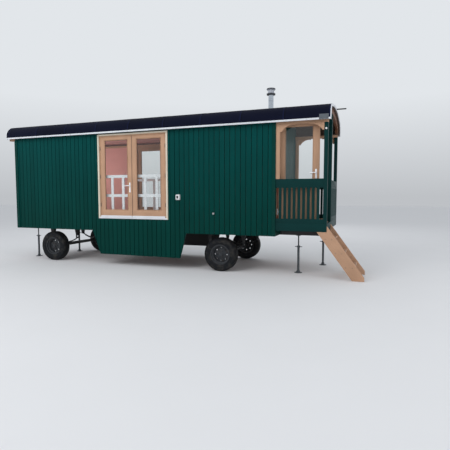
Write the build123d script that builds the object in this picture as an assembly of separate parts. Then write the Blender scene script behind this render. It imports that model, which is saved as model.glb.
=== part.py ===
from build123d import *
import math
import os

# Shepherd's hut on a four-wheeled trailer, in millimetres.
# The model is drawn with X = 0 at the back of the cabin frame, +X towards the porch, Y = 0 on the
# centre line (near side at -Y), and Z = 0 on the ground. Every piece is moved along X at the end,
# so that the origin is at the middle of the whole object's footprint.

# Cabin body
CABIN_LENGTH = 6710.0
CABIN_WIDTH = 2226.0
WALL = 90.0
WALL_BOTTOM_Z = 800.0
PLATE_Z = 2995.0
PLATE_HEIGHT = 55.0
FLOOR_Z = 1060.0
FLOOR_DECK = 28.0
BEARER_HEIGHT = 100.0
BEARER_WIDTH = 60.0
BEARER_COUNT = 9

# Roof
ROOF_BACK_OVERHANG = 190.0
ROOF_FRONT_OVERHANG = 40.0
EAVE_OVERHANG = 82.0
SPRING_LIFT = 50.0
SHOULDER_RADIUS = 250.0
CROWN_TURN = 13.0
ROOF_SHELL = 45.0
SOFFIT = 25.0
COVERING = 5.0
COVERING_LIFT = 15.0
EAVE_TRIM_HEIGHT = 35.0
EAVE_TRIM_THICK = 20.0
ARCH_TRIM_WIDTH = 45.0
ARCH_TRIM_THICK = 15.0
BOW_DEPTH = 110.0
BOW_WIDTH = 60.0

# French windows, one in each long wall
WINDOW_X = 2530.0
FAR_WINDOW_SHIFT = -360.0
WINDOW_WIDTH = 1760.0
WINDOW_SILL_Z = 1115.0
WINDOW_FRAME = 30.0
WINDOW_FRAME_DEPTH = 70.0
WINDOW_TRIM = 30.0
WINDOW_TRIM_THICK = 20.0
WINDOW_STOP = 12.0
LEAF_THICK = 45.0
LEAF_SETBACK = 8.0
LEAF_GAP = 3.0
LEAF_STILE = 115.0
LEAF_TOP_RAIL = 80.0
LEAF_BOTTOM_RAIL = 140.0
LEAF_BEVEL = 10.0
GLASS = 20.0
GUARD_HEIGHT = 1030.0
GUARD_BOARD = 65.0
GUARD_THICK = 20.0
GUARD_BAYS = 6
GUARD_MID_HEIGHT = 525.0
GUARD_OVERLAP = 30.0

# Entrance door in the porch wall
DOOR_WIDTH = 810.0
DOOR_THICK = 40.0
DOOR_BOTTOM_Z = 1078.0
DOOR_HEAD = 30.0
DOOR_GAP = 5.0
DOOR_STOP = 12.0
DOOR_LINING = 25.0
DOOR_FRAME_PROUD = 10.0
THRESHOLD = 12.0
DOOR_STILE = 125.0
DOOR_TOP_RAIL = 75.0
DOOR_BOTTOM_RAIL = 180.0
DOOR_GLASS_Z = 1900.0
DOOR_LOCK_RAIL = 130.0
DOOR_PANEL_RECESS = 10.0
DOOR_BEVEL = 7.0
DOOR_GLASS = 16.0
HINGE_INSET = 211.0
HINGE_OFFSET = 9.0
KNUCKLE_RADIUS = 8.0
PIN_RADIUS = 5.0
PIN_CLEARANCE = 0.1
KNUCKLE_LENGTH = 40.0
KNUCKLE_GAP = 0.3
HINGE_PLATE = 3.0
HANDLE_Z = 2060.0
HANDLE_PLATE_HEIGHT = 230.0
HANDLE_PLATE_WIDTH = 36.0
HANDLE_PLATE = 6.0
HANDLE_NECK_RADIUS = 9.0
HANDLE_REACH = 50.0
LEVER_LENGTH = 115.0
LEVER_HEIGHT = 20.0
LEVER_THICK = 12.0

# Porch
PORCH_DEPTH = 1000.0
POST = 75.0
ENTRANCE_WIDTH = 725.0
EDGE_BEAM_HEIGHT = 154.0
EDGE_BEAM_LIP = 10.0
EDGE_BEAM = 45.0
BALUSTRADE_HEIGHT = 880.0
TOP_BOARD = 173.0
BOTTOM_BOARD = 90.0
RAIL_THICK = 40.0
SLAT_THICK = 20.0
SLAT_PITCH = 92.0
SLAT_GAP = 37.0
CASING_WIDTH = 80.0
CASING_THICK = 45.0
BRACKET_LENGTH = 290.0
BRACKET_DROP = 140.0
BRACKET_TOE = 35.0
BRACKET_TIP = 18.0
BRACKET_BEND = (0.42, 0.36)
BRACKET_THICK = 32.0

# Stair
STAIR_SLOPE = 53.8
STRINGER_DEPTH = 220.0
STRINGER_THICK = 40.0
STAIR_REACH = 480.0
STAIR_FOOT = 220.0
TREAD_COUNT = 3
TREAD_THICK = 35.0
TREAD_SETBACK = 18.0
STAIR_SIDE_GAP = 8.0

# Chassis
RAIL_HEIGHT = 140.0
RAIL_FLANGE = 60.0
RAIL_STEEL = 8.0
RAIL_Y = 575.0
RAIL_END_SETBACK = 130.0
CROSS_HEIGHT = 80.0
CROSS_WIDTH = 50.0
CROSS_COUNT = 6
CROSS_INSET = 110.0
BACK_AXLE_X = 1020.0
FRONT_AXLE_SETBACK = 2215.0
AXLE_BEAM = 70.0
STUB_RADIUS = 30.0
STUB_CLEARANCE = 0.08
SPRING_SPAN = 780.0
SPRING_LEAF = 9.0
SPRING_LEAVES = 4
SPRING_WIDTH = 60.0
SPRING_RISE = 150.0
SPRING_EYE = 20.0
SPRING_PIN = 9.0
CHEEK = 8.0
CHEEK_TOP = 130.0
SHACKLE = 70.0
SADDLE = 120.0
SADDLE_THICK = 10.0
LINK_INSET = 2.0
U_BOLT_RADIUS = 7.0
U_BOLT_CLEARANCE = 1.0
BEAM_SETBACK = 12.0

# Wheels
TYRE_RADIUS = 360.0
TYRE_WIDTH = 200.0
TYRE_SHOULDER = 38.0
RIM_RADIUS = 205.0
RIM_WIDTH = 168.0
RIM_STEEL = 8.0
RIM_LIP = 12.0
RIM_SEAT = 34.0
RIM_WELL_DEPTH = 27.0
RIM_WELL_SLOPE = 14.0
WHEEL_Y = 925.0
DISC_DEPTH = 30.0
DISC_HOLES = 8
DISC_HOLE_RADIUS = 14.0
DISC_OVERLAP = 1.0
HUB_RADIUS = 62.0
HUB_LENGTH = 130.0
HUB_CAP = 14.0
CAP_RADIUS = 40.0
CAP_LENGTH = 24.0
CAP_CHAMFER = 6.0
HUB_END_GAP = 0.3
DISC_FLAT_RADIUS = 99.0

# Screw props, set from the back of the cabin and from the front of the porch
NEAR_PROP_INSETS = (120.0, 620.0)
FAR_PROP_INSETS = (490.0, 240.0)
PROP_FOOT_RADIUS = 80.0
PROP_FOOT = 10.0
PROP_SOCKET = (44.0, 60.0)
PROP_TUBE_RADIUS = 24.0
PROP_TUBE_TOP_Z = 530.0
PROP_SCREW_RADIUS = 12.0
PROP_NUT_RADIUS = 33.0
PROP_NUT_HEIGHT = 40.0
PROP_HANDLE_RADIUS = 7.0
PROP_HANDLE_LENGTH = 150.0
PROP_HEAD = 90.0
PROP_HEAD_THICK = 10.0

# Skirts between the wheels
SKIRT_TOP_X = (2310.0, 4750.0)
SKIRT_BOTTOM_X = (2520.0, 4600.0)
SKIRT_BOTTOM_Z = 250.0
SKIRT_THICK = 30.0

# Chimney
CHIMNEY_X = 6300.0
CHIMNEY_Y = 150.0
PIPE_RADIUS = 58.0
PIPE_STEEL = 3.0
PIPE_CLEARANCE = 0.3
PIPE_DROP = 40.0
PIPE_RISE = 487.0
COWL_HEIGHT = 146.0
COWL_OVERLAP = 51.0
COWL_RADIUS = 100.0
COWL_BODY_RADIUS = 84.0
COWL_RING = 30.0
COWL_STEEL = 4.0
COWL_LID_RISE = 4.0
FLASHING_RADIUS = 142.0
FLASHING_HEIGHT = 80.0

# Small fittings
INLET_OFFSET = 280.0
INLET_Z = 1580.0
INLET_WIDTH = 92.0
INLET_HEIGHT = 104.0
INLET_DEPTH = 48.0
INLET_CHAMFER = 14.0
VENT_X = 5390.0
VENT_Z = 1240.0
VENT_RADIUS = 30.0
VENT_DEPTH = 24.0
CROWN_ROD_RADIUS = 13.0
CROWN_ROD_LENGTH = 195.0

# Worked out from the sizes above
HALF = CABIN_WIDTH / 2
INNER = HALF - WALL
PLATE_TOP_Z = PLATE_Z + PLATE_HEIGHT
GABLE_Z = PLATE_TOP_Z + SOFFIT
ROOF_HALF = HALF + EAVE_OVERHANG
SPRING_Z = PLATE_TOP_Z + SPRING_LIFT
COVERING_LOW_Z = PLATE_TOP_Z + COVERING_LIFT
SHOULDER_Y = ROOF_HALF - SHOULDER_RADIUS
CROWN_RADIUS = SHOULDER_RADIUS + SHOULDER_Y / math.sin(math.radians(CROWN_TURN))
CROWN_CENTRE_Z = SPRING_Z - (CROWN_RADIUS - SHOULDER_RADIUS) * math.cos(math.radians(CROWN_TURN))
CROWN_TOP_Z = CROWN_CENTRE_Z + CROWN_RADIUS
PORCH_X = CABIN_LENGTH + PORCH_DEPTH
ROOF_X = (-ROOF_BACK_OVERHANG, PORCH_X + ROOF_FRONT_OVERHANG)
DECK_LOW_Z = FLOOR_Z - FLOOR_DECK
BEARER_LOW_Z = DECK_LOW_Z - BEARER_HEIGHT
RAIL_LOW_Z = BEARER_LOW_Z - RAIL_HEIGHT
EDGE_BEAM_TOP_Z = FLOOR_Z + EDGE_BEAM_LIP
RAIL_TOP_Z = FLOOR_Z + BALUSTRADE_HEIGHT
AXLE_Z = TYRE_RADIUS
AXLE_XS = (BACK_AXLE_X, PORCH_X - FRONT_AXLE_SETBACK)
CHASSIS_X = (WALL, PORCH_X - RAIL_END_SETBACK)
PIPE_TOP_Z = CROWN_TOP_Z + PIPE_RISE
COWL_RING_Z = PIPE_TOP_Z - COWL_OVERLAP
COWL_TOP_Z = COWL_RING_Z + COWL_HEIGHT
STAIR_FOOT_X = PORCH_X + STAIR_REACH
STAIR_TOE_X = STAIR_FOOT_X + STAIR_FOOT
DOOR_TOP_Z = GABLE_Z - DOOR_HEAD - DOOR_GAP
DOOR_LOW_Y = -INNER + DOOR_LINING + DOOR_GAP
DOOR_FACE_X = CABIN_LENGTH + DOOR_FRAME_PROUD
HINGE_X = DOOR_FACE_X + HINGE_OFFSET
HINGE_Y = DOOR_LOW_Y - DOOR_GAP / 2
LOCK_JAMB_Y = DOOR_LOW_Y + DOOR_WIDTH + DOOR_GAP
PORCH_WALL_Y = LOCK_JAMB_Y + DOOR_LINING
INNER_POST_Y = -HALF + POST + ENTRANCE_WIDTH
BACK_X = ROOF_X[0] - ARCH_TRIM_THICK
CENTRE_X = (BACK_X + STAIR_TOE_X) / 2


def block(xs, ys, zs):
    """A box between three pairs of limits."""
    size = [abs(pair[1] - pair[0]) for pair in (xs, ys, zs)]
    middle = [(pair[0] + pair[1]) / 2 for pair in (xs, ys, zs)]
    return Pos(*middle) * Box(*size)


def far(piece):
    """The same piece on the far side of the centre line."""
    return mirror(piece, about=Plane.XZ)


def far_window(piece):
    """A piece of the near window as it stands in the far wall, which sits nearer the back."""
    return Pos(FAR_WINDOW_SHIFT, 0, 0) * far(piece)


def across(face, x_low, x_high):
    """A face drawn in Y and Z, made solid between two places along the hut."""
    return extrude(Plane.YZ.offset(x_low) * face, amount=x_high - x_low)


def along(face, y_low, y_high):
    """A face drawn in X and Z, made solid between two places across the hut."""
    return extrude(Plane.XZ.offset(-y_low) * face, amount=-(y_high - y_low))


def upright(radius, x, y, z_low, z_high):
    """A round bar standing up."""
    return Pos(x, y, (z_low + z_high) / 2) * Cylinder(radius, z_high - z_low)


def save(name, *pieces):
    """Write one named node, moved so that the origin is under the middle of the hut."""
    moved = []
    for piece in pieces:
        moved.extend((Pos(-CENTRE_X, 0, 0) * piece).solids())
    shape = moved[0] if len(moved) == 1 else Compound(children=moved)
    export_step(shape, os.path.join("parts", name + ".step"))


# Roof form: a shallow crown arc that runs into two tight shoulder arcs


def roof_face(inset, z_low):
    """The area below the roof line, the line drawn inwards by an inset."""
    turn = math.radians(CROWN_TURN)
    shoulder = SHOULDER_RADIUS - inset
    half = ROOF_HALF - inset
    join = Vector(SHOULDER_Y + shoulder * math.sin(turn), SPRING_Z + shoulder * math.cos(turn))
    bend = math.radians(45 + CROWN_TURN / 2)
    middle = Vector(SHOULDER_Y + shoulder * math.sin(bend), SPRING_Z + shoulder * math.cos(bend))
    crown = Vector(0, CROWN_TOP_Z - inset)
    edges = [
        Line((-half, z_low), (-half, SPRING_Z)),
        ThreePointArc((-half, SPRING_Z), (-middle.X, middle.Y), (-join.X, join.Y)),
        ThreePointArc((-join.X, join.Y), (crown.X, crown.Y), (join.X, join.Y)),
        ThreePointArc((join.X, join.Y), (middle.X, middle.Y), (half, SPRING_Z)),
        Line((half, SPRING_Z), (half, z_low)),
        Line((half, z_low), (-half, z_low)),
    ]
    return make_face(edges)


def crown_sector():
    """The fan of the crown arc, which parts the crown from the shoulders."""
    turn = math.radians(CROWN_TURN)
    reach = CROWN_RADIUS + SHOULDER_RADIUS
    side = reach * math.sin(turn)
    top = CROWN_CENTRE_Z + reach * math.cos(turn)
    return make_face(Polyline((0, CROWN_CENTRE_Z), (side, top), (-side, top), (0, CROWN_CENTRE_Z)))


def flue_hole(radius):
    """A cylinder that cuts the way of the chimney through the roof."""
    return upright(radius, CHIMNEY_X, CHIMNEY_Y, PLATE_TOP_Z, COWL_TOP_Z)


def roof_band(outer, inner, z_low):
    """The band between two roof lines."""
    return roof_face(outer, z_low) - roof_face(inner, z_low)


def make_roof():
    shell = roof_band(0, ROOF_SHELL, PLATE_TOP_Z)
    crown = across(shell & crown_sector(), *ROOF_X) - flue_hole(PIPE_RADIUS + PIPE_CLEARANCE)
    save("roof_crown", crown)

    side = across(shell - crown_sector(), *ROOF_X).solids().sort_by(Axis.Y)[0]
    foot = block(ROOF_X, (-ROOF_HALF, -INNER), (PLATE_TOP_Z, GABLE_Z))
    shoulder = side + foot
    save("roof_shoulders", shoulder, far(shoulder))

    skin = across(roof_band(-COVERING, 0, COVERING_LOW_Z), *ROOF_X)
    save("roof_covering", skin - flue_hole(PIPE_RADIUS + PIPE_CLEARANCE))

    trim_z = (COVERING_LOW_Z - EAVE_TRIM_HEIGHT, COVERING_LOW_Z)
    eave = block(ROOF_X, (-ROOF_HALF - EAVE_TRIM_THICK, -ROOF_HALF), trim_z)
    save("eave_trims", eave, far(eave))

    arch = roof_band(-COVERING, ARCH_TRIM_WIDTH, COVERING_LOW_Z - EAVE_TRIM_HEIGHT)
    back = across(arch, BACK_X, ROOF_X[0])
    front = across(arch, ROOF_X[1], ROOF_X[1] + ARCH_TRIM_THICK)
    save("arch_trims", back, front)

    bow = roof_band(ROOF_SHELL, ROOF_SHELL + BOW_DEPTH, GABLE_Z)
    save("porch_bow", across(bow, PORCH_X - BOW_WIDTH, PORCH_X))


# Walls, plates and floor


def make_walls():
    window = block((WINDOW_X, WINDOW_X + WINDOW_WIDTH), (-HALF, -INNER), (WINDOW_SILL_Z, PLATE_Z))
    wall = block((0, CABIN_LENGTH), (-HALF, -INNER), (WALL_BOTTOM_Z, PLATE_Z))
    save("near_wall", wall - window)
    save("far_wall", far(wall) - far_window(window))

    plate = block((ROOF_X[0], PORCH_X), (-HALF, -INNER), (PLATE_Z, PLATE_TOP_Z))
    save("wall_plates", plate, far(plate))

    save("back_wall", block((0, WALL), (-INNER, INNER), (WALL_BOTTOM_Z, GABLE_Z)))
    gable = roof_face(ROOF_SHELL, GABLE_Z)
    save("back_gable", across(gable, 0, WALL))
    save("porch_gable", across(gable, CABIN_LENGTH - WALL, CABIN_LENGTH))

    wall_x = (CABIN_LENGTH - WALL, CABIN_LENGTH)
    beside = block(wall_x, (PORCH_WALL_Y, INNER), (BEARER_LOW_Z, GABLE_Z))
    under = block(wall_x, (-INNER, PORCH_WALL_Y), (BEARER_LOW_Z, FLOOR_Z))
    save("porch_wall", beside + under)

    outline = Polyline(
        (SKIRT_TOP_X[0], WALL_BOTTOM_Z),
        (SKIRT_TOP_X[1], WALL_BOTTOM_Z),
        (SKIRT_BOTTOM_X[1], SKIRT_BOTTOM_Z),
        (SKIRT_BOTTOM_X[0], SKIRT_BOTTOM_Z),
        (SKIRT_TOP_X[0], WALL_BOTTOM_Z),
    )
    skirt = along(make_face(outline), -HALF, -HALF + SKIRT_THICK)
    save("side_skirts", skirt, far(skirt))


def make_floor():
    deck_z = (DECK_LOW_Z, FLOOR_Z)
    save("cabin_floor", block((WALL, CABIN_LENGTH - WALL), (-INNER, INNER), deck_z))
    inside = HALF - EDGE_BEAM
    save("porch_floor", block((CABIN_LENGTH, PORCH_X - EDGE_BEAM), (-inside, inside), deck_z))

    bearers = []
    first = WALL + BEARER_WIDTH
    step = (CABIN_LENGTH - 2 * first) / (BEARER_COUNT - 1)
    bearer_z = (BEARER_LOW_Z, DECK_LOW_Z)
    for number in range(BEARER_COUNT):
        middle = first + number * step
        limits = (middle - BEARER_WIDTH / 2, middle + BEARER_WIDTH / 2)
        bearers.append(block(limits, (-INNER, INNER), bearer_z))
    for middle in (CABIN_LENGTH + BEARER_WIDTH, PORCH_X - EDGE_BEAM - BEARER_WIDTH):
        limits = (middle - BEARER_WIDTH / 2, middle + BEARER_WIDTH / 2)
        bearers.append(block(limits, (-inside, inside), bearer_z))
    save("floor_bearers", *bearers)

    beam_z = (EDGE_BEAM_TOP_Z - EDGE_BEAM_HEIGHT, EDGE_BEAM_TOP_Z)
    side = block((CABIN_LENGTH, PORCH_X), (-HALF, -inside), beam_z)
    front = block((PORCH_X - EDGE_BEAM, PORCH_X), (-inside, inside), beam_z)
    save("porch_edge_beams", side + front + far(side))


# French windows with their guard rails


def bevelled_light(leaf, bevel):
    """A leaf with the edges of its glass opening bevelled on both faces."""
    sides = leaf.faces().filter_by(Axis.Y).sort_by(Axis.Y)
    edges = [edge for side in (sides[0], sides[-1]) for edge in side.inner_wires()[0].edges()]
    return chamfer(edges, bevel)


def make_windows():
    x_low, x_high = WINDOW_X, WINDOW_X + WINDOW_WIDTH
    inner_x = (x_low + WINDOW_FRAME, x_high - WINDOW_FRAME)
    inner_z = (WINDOW_SILL_Z + WINDOW_FRAME, PLATE_Z - WINDOW_FRAME)
    frame = block((x_low, x_high), (-HALF, -HALF + WINDOW_FRAME_DEPTH), (WINDOW_SILL_Z, PLATE_Z))
    trim = block(
        (x_low - WINDOW_TRIM, x_high + WINDOW_TRIM),
        (-HALF - WINDOW_TRIM_THICK, -HALF),
        (WINDOW_SILL_Z - WINDOW_TRIM, PLATE_Z + WINDOW_TRIM),
    )
    leaf_y = (-HALF + LEAF_SETBACK, -HALF + LEAF_SETBACK + LEAF_THICK)
    light = block(inner_x, (-HALF - WINDOW_TRIM_THICK, leaf_y[1]), inner_z)
    stop_x = (inner_x[0] + WINDOW_STOP, inner_x[1] - WINDOW_STOP)
    stop_z = (inner_z[0] + WINDOW_STOP, inner_z[1] - WINDOW_STOP)
    frame = frame + trim - light - block(stop_x, (leaf_y[1], -INNER), stop_z)
    save("window_frames", frame, far_window(frame))

    leaf_width = (inner_x[1] - inner_x[0] - 3 * LEAF_GAP) / 2
    leaf_z = (inner_z[0] + LEAF_GAP, inner_z[1] - LEAF_GAP)
    glass_y = (sum(leaf_y) - GLASS) / 2, (sum(leaf_y) + GLASS) / 2
    pane_z = (leaf_z[0] + LEAF_BOTTOM_RAIL, leaf_z[1] - LEAF_TOP_RAIL)
    leaves = []
    panes = []
    for number in range(2):
        start = inner_x[0] + LEAF_GAP + number * (leaf_width + LEAF_GAP)
        pane_x = (start + LEAF_STILE, start + leaf_width - LEAF_STILE)
        pane = block(pane_x, glass_y, pane_z)
        leaf = block((start, start + leaf_width), leaf_y, leaf_z) - block(pane_x, leaf_y, pane_z)
        leaf = bevelled_light(leaf, LEAF_BEVEL)
        leaves.extend((leaf, far_window(leaf)))
        panes.extend((pane, far_window(pane)))
    save("window_leaves", *leaves)
    save("window_glass", *panes)

    guard_x = (x_low - GUARD_OVERLAP, x_high + GUARD_OVERLAP)
    guard_y = (-INNER, -INNER + GUARD_THICK)
    top_z = FLOOR_Z + GUARD_HEIGHT
    guard = block(guard_x, guard_y, (top_z - GUARD_BOARD, top_z))
    mid_z = FLOOR_Z + GUARD_MID_HEIGHT
    guard += block(guard_x, guard_y, (mid_z, mid_z + GUARD_BOARD))
    bay = (guard_x[1] - guard_x[0] - GUARD_BOARD) / GUARD_BAYS
    for number in range(GUARD_BAYS + 1):
        start = guard_x[0] + number * bay
        guard += block((start, start + GUARD_BOARD), guard_y, (FLOOR_Z, top_z))
    save("window_guard_rails", guard, far_window(guard))


# Entrance door, drawn open at a right angle along the near balustrade


def make_door():
    lining_x = (CABIN_LENGTH - WALL, DOOR_FACE_X)
    outer = block(lining_x, (-INNER, PORCH_WALL_Y), (FLOOR_Z, GABLE_Z))
    low_z, high_z = FLOOR_Z + THRESHOLD, DOOR_TOP_Z + DOOR_GAP
    rebate_x = DOOR_FACE_X - DOOR_THICK - DOOR_GAP
    rebate = block((rebate_x, DOOR_FACE_X), (DOOR_LOW_Y - DOOR_GAP, LOCK_JAMB_Y), (low_z, high_z))
    way_y = (DOOR_LOW_Y - DOOR_GAP + DOOR_STOP, LOCK_JAMB_Y - DOOR_STOP)
    way = block((lining_x[0], rebate_x), way_y, (low_z, high_z - DOOR_STOP))
    frame = outer - rebate - way

    leaf_x = (HINGE_X + DOOR_GAP / 2, HINGE_X + DOOR_GAP / 2 + DOOR_WIDTH)
    leaf_y = (HINGE_Y + HINGE_OFFSET, HINGE_Y + HINGE_OFFSET + DOOR_THICK)
    pane_x = (leaf_x[0] + DOOR_STILE, leaf_x[1] - DOOR_STILE)
    pane_z = (DOOR_GLASS_Z, DOOR_TOP_Z - DOOR_TOP_RAIL)
    panel_z = (DOOR_BOTTOM_Z + DOOR_BOTTOM_RAIL, DOOR_GLASS_Z - DOOR_LOCK_RAIL)
    leaf = block(leaf_x, leaf_y, (DOOR_BOTTOM_Z, DOOR_TOP_Z)) - block(pane_x, leaf_y, pane_z)
    leaf = bevelled_light(leaf, DOOR_BEVEL)
    leaf -= block(pane_x, (leaf_y[0], leaf_y[0] + DOOR_PANEL_RECESS), panel_z)
    leaf -= block(pane_x, (leaf_y[1] - DOOR_PANEL_RECESS, leaf_y[1]), panel_z)

    hole = PIN_RADIUS + PIN_CLEARANCE
    low_hinge, high_hinge = DOOR_BOTTOM_Z + HINGE_INSET, DOOR_TOP_Z - HINGE_INSET
    for height in (low_hinge, (low_hinge + high_hinge) / 2, high_hinge):
        low, high = height - KNUCKLE_LENGTH / 2, height + KNUCKLE_LENGTH / 2
        eye = upright(KNUCKLE_RADIUS, HINGE_X, HINGE_Y, low, high)
        eye += block(
            (HINGE_X, leaf_x[0] + KNUCKLE_LENGTH), (leaf_y[0] - HINGE_PLATE, leaf_y[0]), (low, high)
        )
        leaf += eye - upright(hole, HINGE_X, HINGE_Y, low, high)
        frame += upright(PIN_RADIUS, HINGE_X, HINGE_Y, low - KNUCKLE_LENGTH, high + KNUCKLE_LENGTH)
        for start in (low - KNUCKLE_LENGTH, high + KNUCKLE_GAP):
            end = start + KNUCKLE_LENGTH - KNUCKLE_GAP
            frame += upright(KNUCKLE_RADIUS, HINGE_X, HINGE_Y, start, end)
            wing_y = (-INNER, HINGE_Y)
            frame += block((DOOR_FACE_X, DOOR_FACE_X + HINGE_PLATE), wing_y, (start, end))
    save("door_frame", frame)
    save("entrance_door", leaf)

    middle = sum(leaf_y) / 2
    glass_y = (middle - DOOR_GLASS / 2, middle + DOOR_GLASS / 2)
    save("entrance_door_glass", block(pane_x, glass_y, pane_z))

    handle_x = leaf_x[1] - DOOR_STILE / 2
    handles = []
    for side, face in ((-1, leaf_y[0]), (1, leaf_y[1])):
        plate_x = (handle_x - HANDLE_PLATE_WIDTH / 2, handle_x + HANDLE_PLATE_WIDTH / 2)
        plate_z = (HANDLE_Z - HANDLE_PLATE_HEIGHT / 2, HANDLE_Z + HANDLE_PLATE_HEIGHT / 2)
        handle = block(plate_x, sorted((face, face + side * HANDLE_PLATE)), plate_z)
        neck = Pos(handle_x, face + side * HANDLE_REACH / 2, HANDLE_Z) * Rot(90, 0, 0)
        handle += neck * Cylinder(HANDLE_NECK_RADIUS, HANDLE_REACH)
        lever_x = (handle_x - LEVER_LENGTH, handle_x + HANDLE_NECK_RADIUS)
        lever_y = sorted((face + side * (HANDLE_REACH - LEVER_THICK), face + side * HANDLE_REACH))
        lever_z = (HANDLE_Z - LEVER_HEIGHT / 2, HANDLE_Z + LEVER_HEIGHT / 2)
        handle += block(lever_x, lever_y, lever_z)
        handles.append(handle)
    save("entrance_door_handles", *handles)


# Porch posts, casings and balustrades


def slatted_panel(length):
    """A balustrade panel that starts at X = 0, its outer face at Y = 0, between floor and rail."""
    low, high = EDGE_BEAM_TOP_Z, RAIL_TOP_Z
    panel = block((0, length), (0, RAIL_THICK), (high - TOP_BOARD, high))
    panel += block((0, length), (0, RAIL_THICK), (low, low + BOTTOM_BOARD))
    slat = SLAT_PITCH - SLAT_GAP
    count = int((length - SLAT_GAP) // SLAT_PITCH)
    start = (length - count * SLAT_PITCH + SLAT_GAP) / 2
    for number in range(count):
        x = start + number * SLAT_PITCH
        panel += block((x, x + slat), (0, SLAT_THICK), (low, high))
    return panel


def bracket(x, direction):
    """A hollow-curved bracket below the porch header, at a post face and reaching away from it."""
    tip = x + direction * BRACKET_LENGTH
    toe = x + direction * BRACKET_TOE
    low = PLATE_Z - BRACKET_DROP
    bend_x, bend_z = BRACKET_BEND
    middle = (x + direction * BRACKET_LENGTH * bend_x, PLATE_Z - BRACKET_DROP * bend_z)
    edges = [
        Line((x, PLATE_Z), (x, low)),
        Line((x, low), (toe, low)),
        ThreePointArc((toe, low), middle, (tip, PLATE_Z - BRACKET_TIP)),
        Line((tip, PLATE_Z - BRACKET_TIP), (tip, PLATE_Z)),
        Line((tip, PLATE_Z), (x, PLATE_Z)),
    ]
    return along(make_face(edges), -HALF, -HALF + BRACKET_THICK)


def make_porch():
    post_x = (PORCH_X - POST, PORCH_X)
    corner = block(post_x, (-HALF, -HALF + POST), (EDGE_BEAM_TOP_Z, PLATE_Z))
    tall = block(post_x, (INNER_POST_Y, INNER_POST_Y + POST), (EDGE_BEAM_TOP_Z, CROWN_TOP_Z))
    under_bow = across(roof_face(ROOF_SHELL + BOW_DEPTH, EDGE_BEAM_TOP_Z), *post_x)
    save("porch_posts", corner, far(corner), tall & under_bow)

    casing_x = (CABIN_LENGTH, CABIN_LENGTH + CASING_WIDTH)
    casing = block(casing_x, (-HALF, -HALF + CASING_THICK), (RAIL_TOP_Z, PLATE_Z))
    casing += bracket(casing_x[1], 1)
    corner_bracket = bracket(post_x[0], -1)
    save("porch_casings", casing, far(casing), corner_bracket, far(corner_bracket))

    side = Pos(CABIN_LENGTH, -HALF, 0) * slatted_panel(post_x[0] - CABIN_LENGTH)
    save("near_balustrade", side)
    save("far_balustrade", far(side))
    end_width = HALF - POST - (INNER_POST_Y + POST)
    end = Pos(PORCH_X, INNER_POST_Y + POST, 0) * Rot(0, 0, 90) * slatted_panel(end_width)
    save("end_balustrade", end)


# Stair


def make_stair():
    run = 1 / math.tan(math.radians(STAIR_SLOPE))
    band = STRINGER_DEPTH / math.sin(math.radians(STAIR_SLOPE))
    seat_z = EDGE_BEAM_TOP_Z - EDGE_BEAM_HEIGHT
    lean_z = (STAIR_FOOT_X + band - PORCH_X) / run
    toe_z = (STAIR_FOOT_X + band - STAIR_TOE_X) / run
    outline = Polyline(
        (STAIR_FOOT_X, 0),
        (STAIR_TOE_X, 0),
        (STAIR_TOE_X, toe_z),
        (PORCH_X, lean_z),
        (PORCH_X, seat_z),
        (STAIR_FOOT_X - seat_z * run, seat_z),
        (STAIR_FOOT_X, 0),
    )
    low_y = -HALF + STAIR_SIDE_GAP
    high_y = INNER_POST_Y
    face = make_face(outline)
    near = along(face, low_y, low_y + STRINGER_THICK)
    inner = along(face, high_y - STRINGER_THICK, high_y)
    save("stair_stringers", near, inner)

    treads = []
    rise = FLOOR_Z / (TREAD_COUNT + 1)
    for number in range(1, TREAD_COUNT + 1):
        top = number * rise
        start = STAIR_FOOT_X - top * run + TREAD_SETBACK
        end = STAIR_FOOT_X - top * run + band - TREAD_SETBACK
        tread_y = (low_y + STRINGER_THICK, high_y - STRINGER_THICK)
        treads.append(block((start, end), tread_y, (top - TREAD_THICK, top)))
    save("stair_treads", *treads)


# Chassis, springs, axles and wheels


def channel(x_low, x_high):
    """A steel channel rail whose web stands on the outer side."""
    y_low = -RAIL_Y - RAIL_FLANGE / 2
    bar = block((x_low, x_high), (y_low, y_low + RAIL_FLANGE), (RAIL_LOW_Z, BEARER_LOW_Z))
    hollow_z = (RAIL_LOW_Z + RAIL_STEEL, BEARER_LOW_Z - RAIL_STEEL)
    return bar - block((x_low, x_high), (y_low + RAIL_STEEL, y_low + RAIL_FLANGE), hollow_z)


def cheeks(outline, y_low, y_high):
    """A pair of plates of one outline, one at each side of a spring."""
    face = make_face(outline)
    return along(face, y_low - CHEEK, y_low) + along(face, y_high, y_high + CHEEK)


def leaf_pack(x, y_low, y_high):
    """Arched leaves on the axle, the longest on top, each of the others shorter than the one above it."""
    half = SPRING_SPAN / 2
    seat = AXLE_Z + AXLE_BEAM / 2
    top_leaf = (SPRING_LEAVES - 0.5) * SPRING_LEAF
    rise = SPRING_RISE - top_leaf
    radius = (half**2 + rise**2) / (2 * rise)
    centre = (x, seat + top_leaf + radius)
    middle_x = (x - SADDLE / 2, x + SADDLE / 2)
    pack = block(middle_x, (y_low, y_high), (seat, seat + SPRING_LEAF * SPRING_LEAVES))
    for number in range(SPRING_LEAVES):
        reach = half * (SPRING_LEAVES - number) / SPRING_LEAVES
        outer = radius + (number + 0.5) * SPRING_LEAF
        ring = along(make_face(CenterArc(centre, outer, 0, 360)), y_low, y_high)
        ring -= along(make_face(CenterArc(centre, outer - SPRING_LEAF, 0, 360)), y_low, y_high)
        pack += ring & block((x - reach, x + reach), (y_low, y_high), (0, centre[1]))
    return pack


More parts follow.
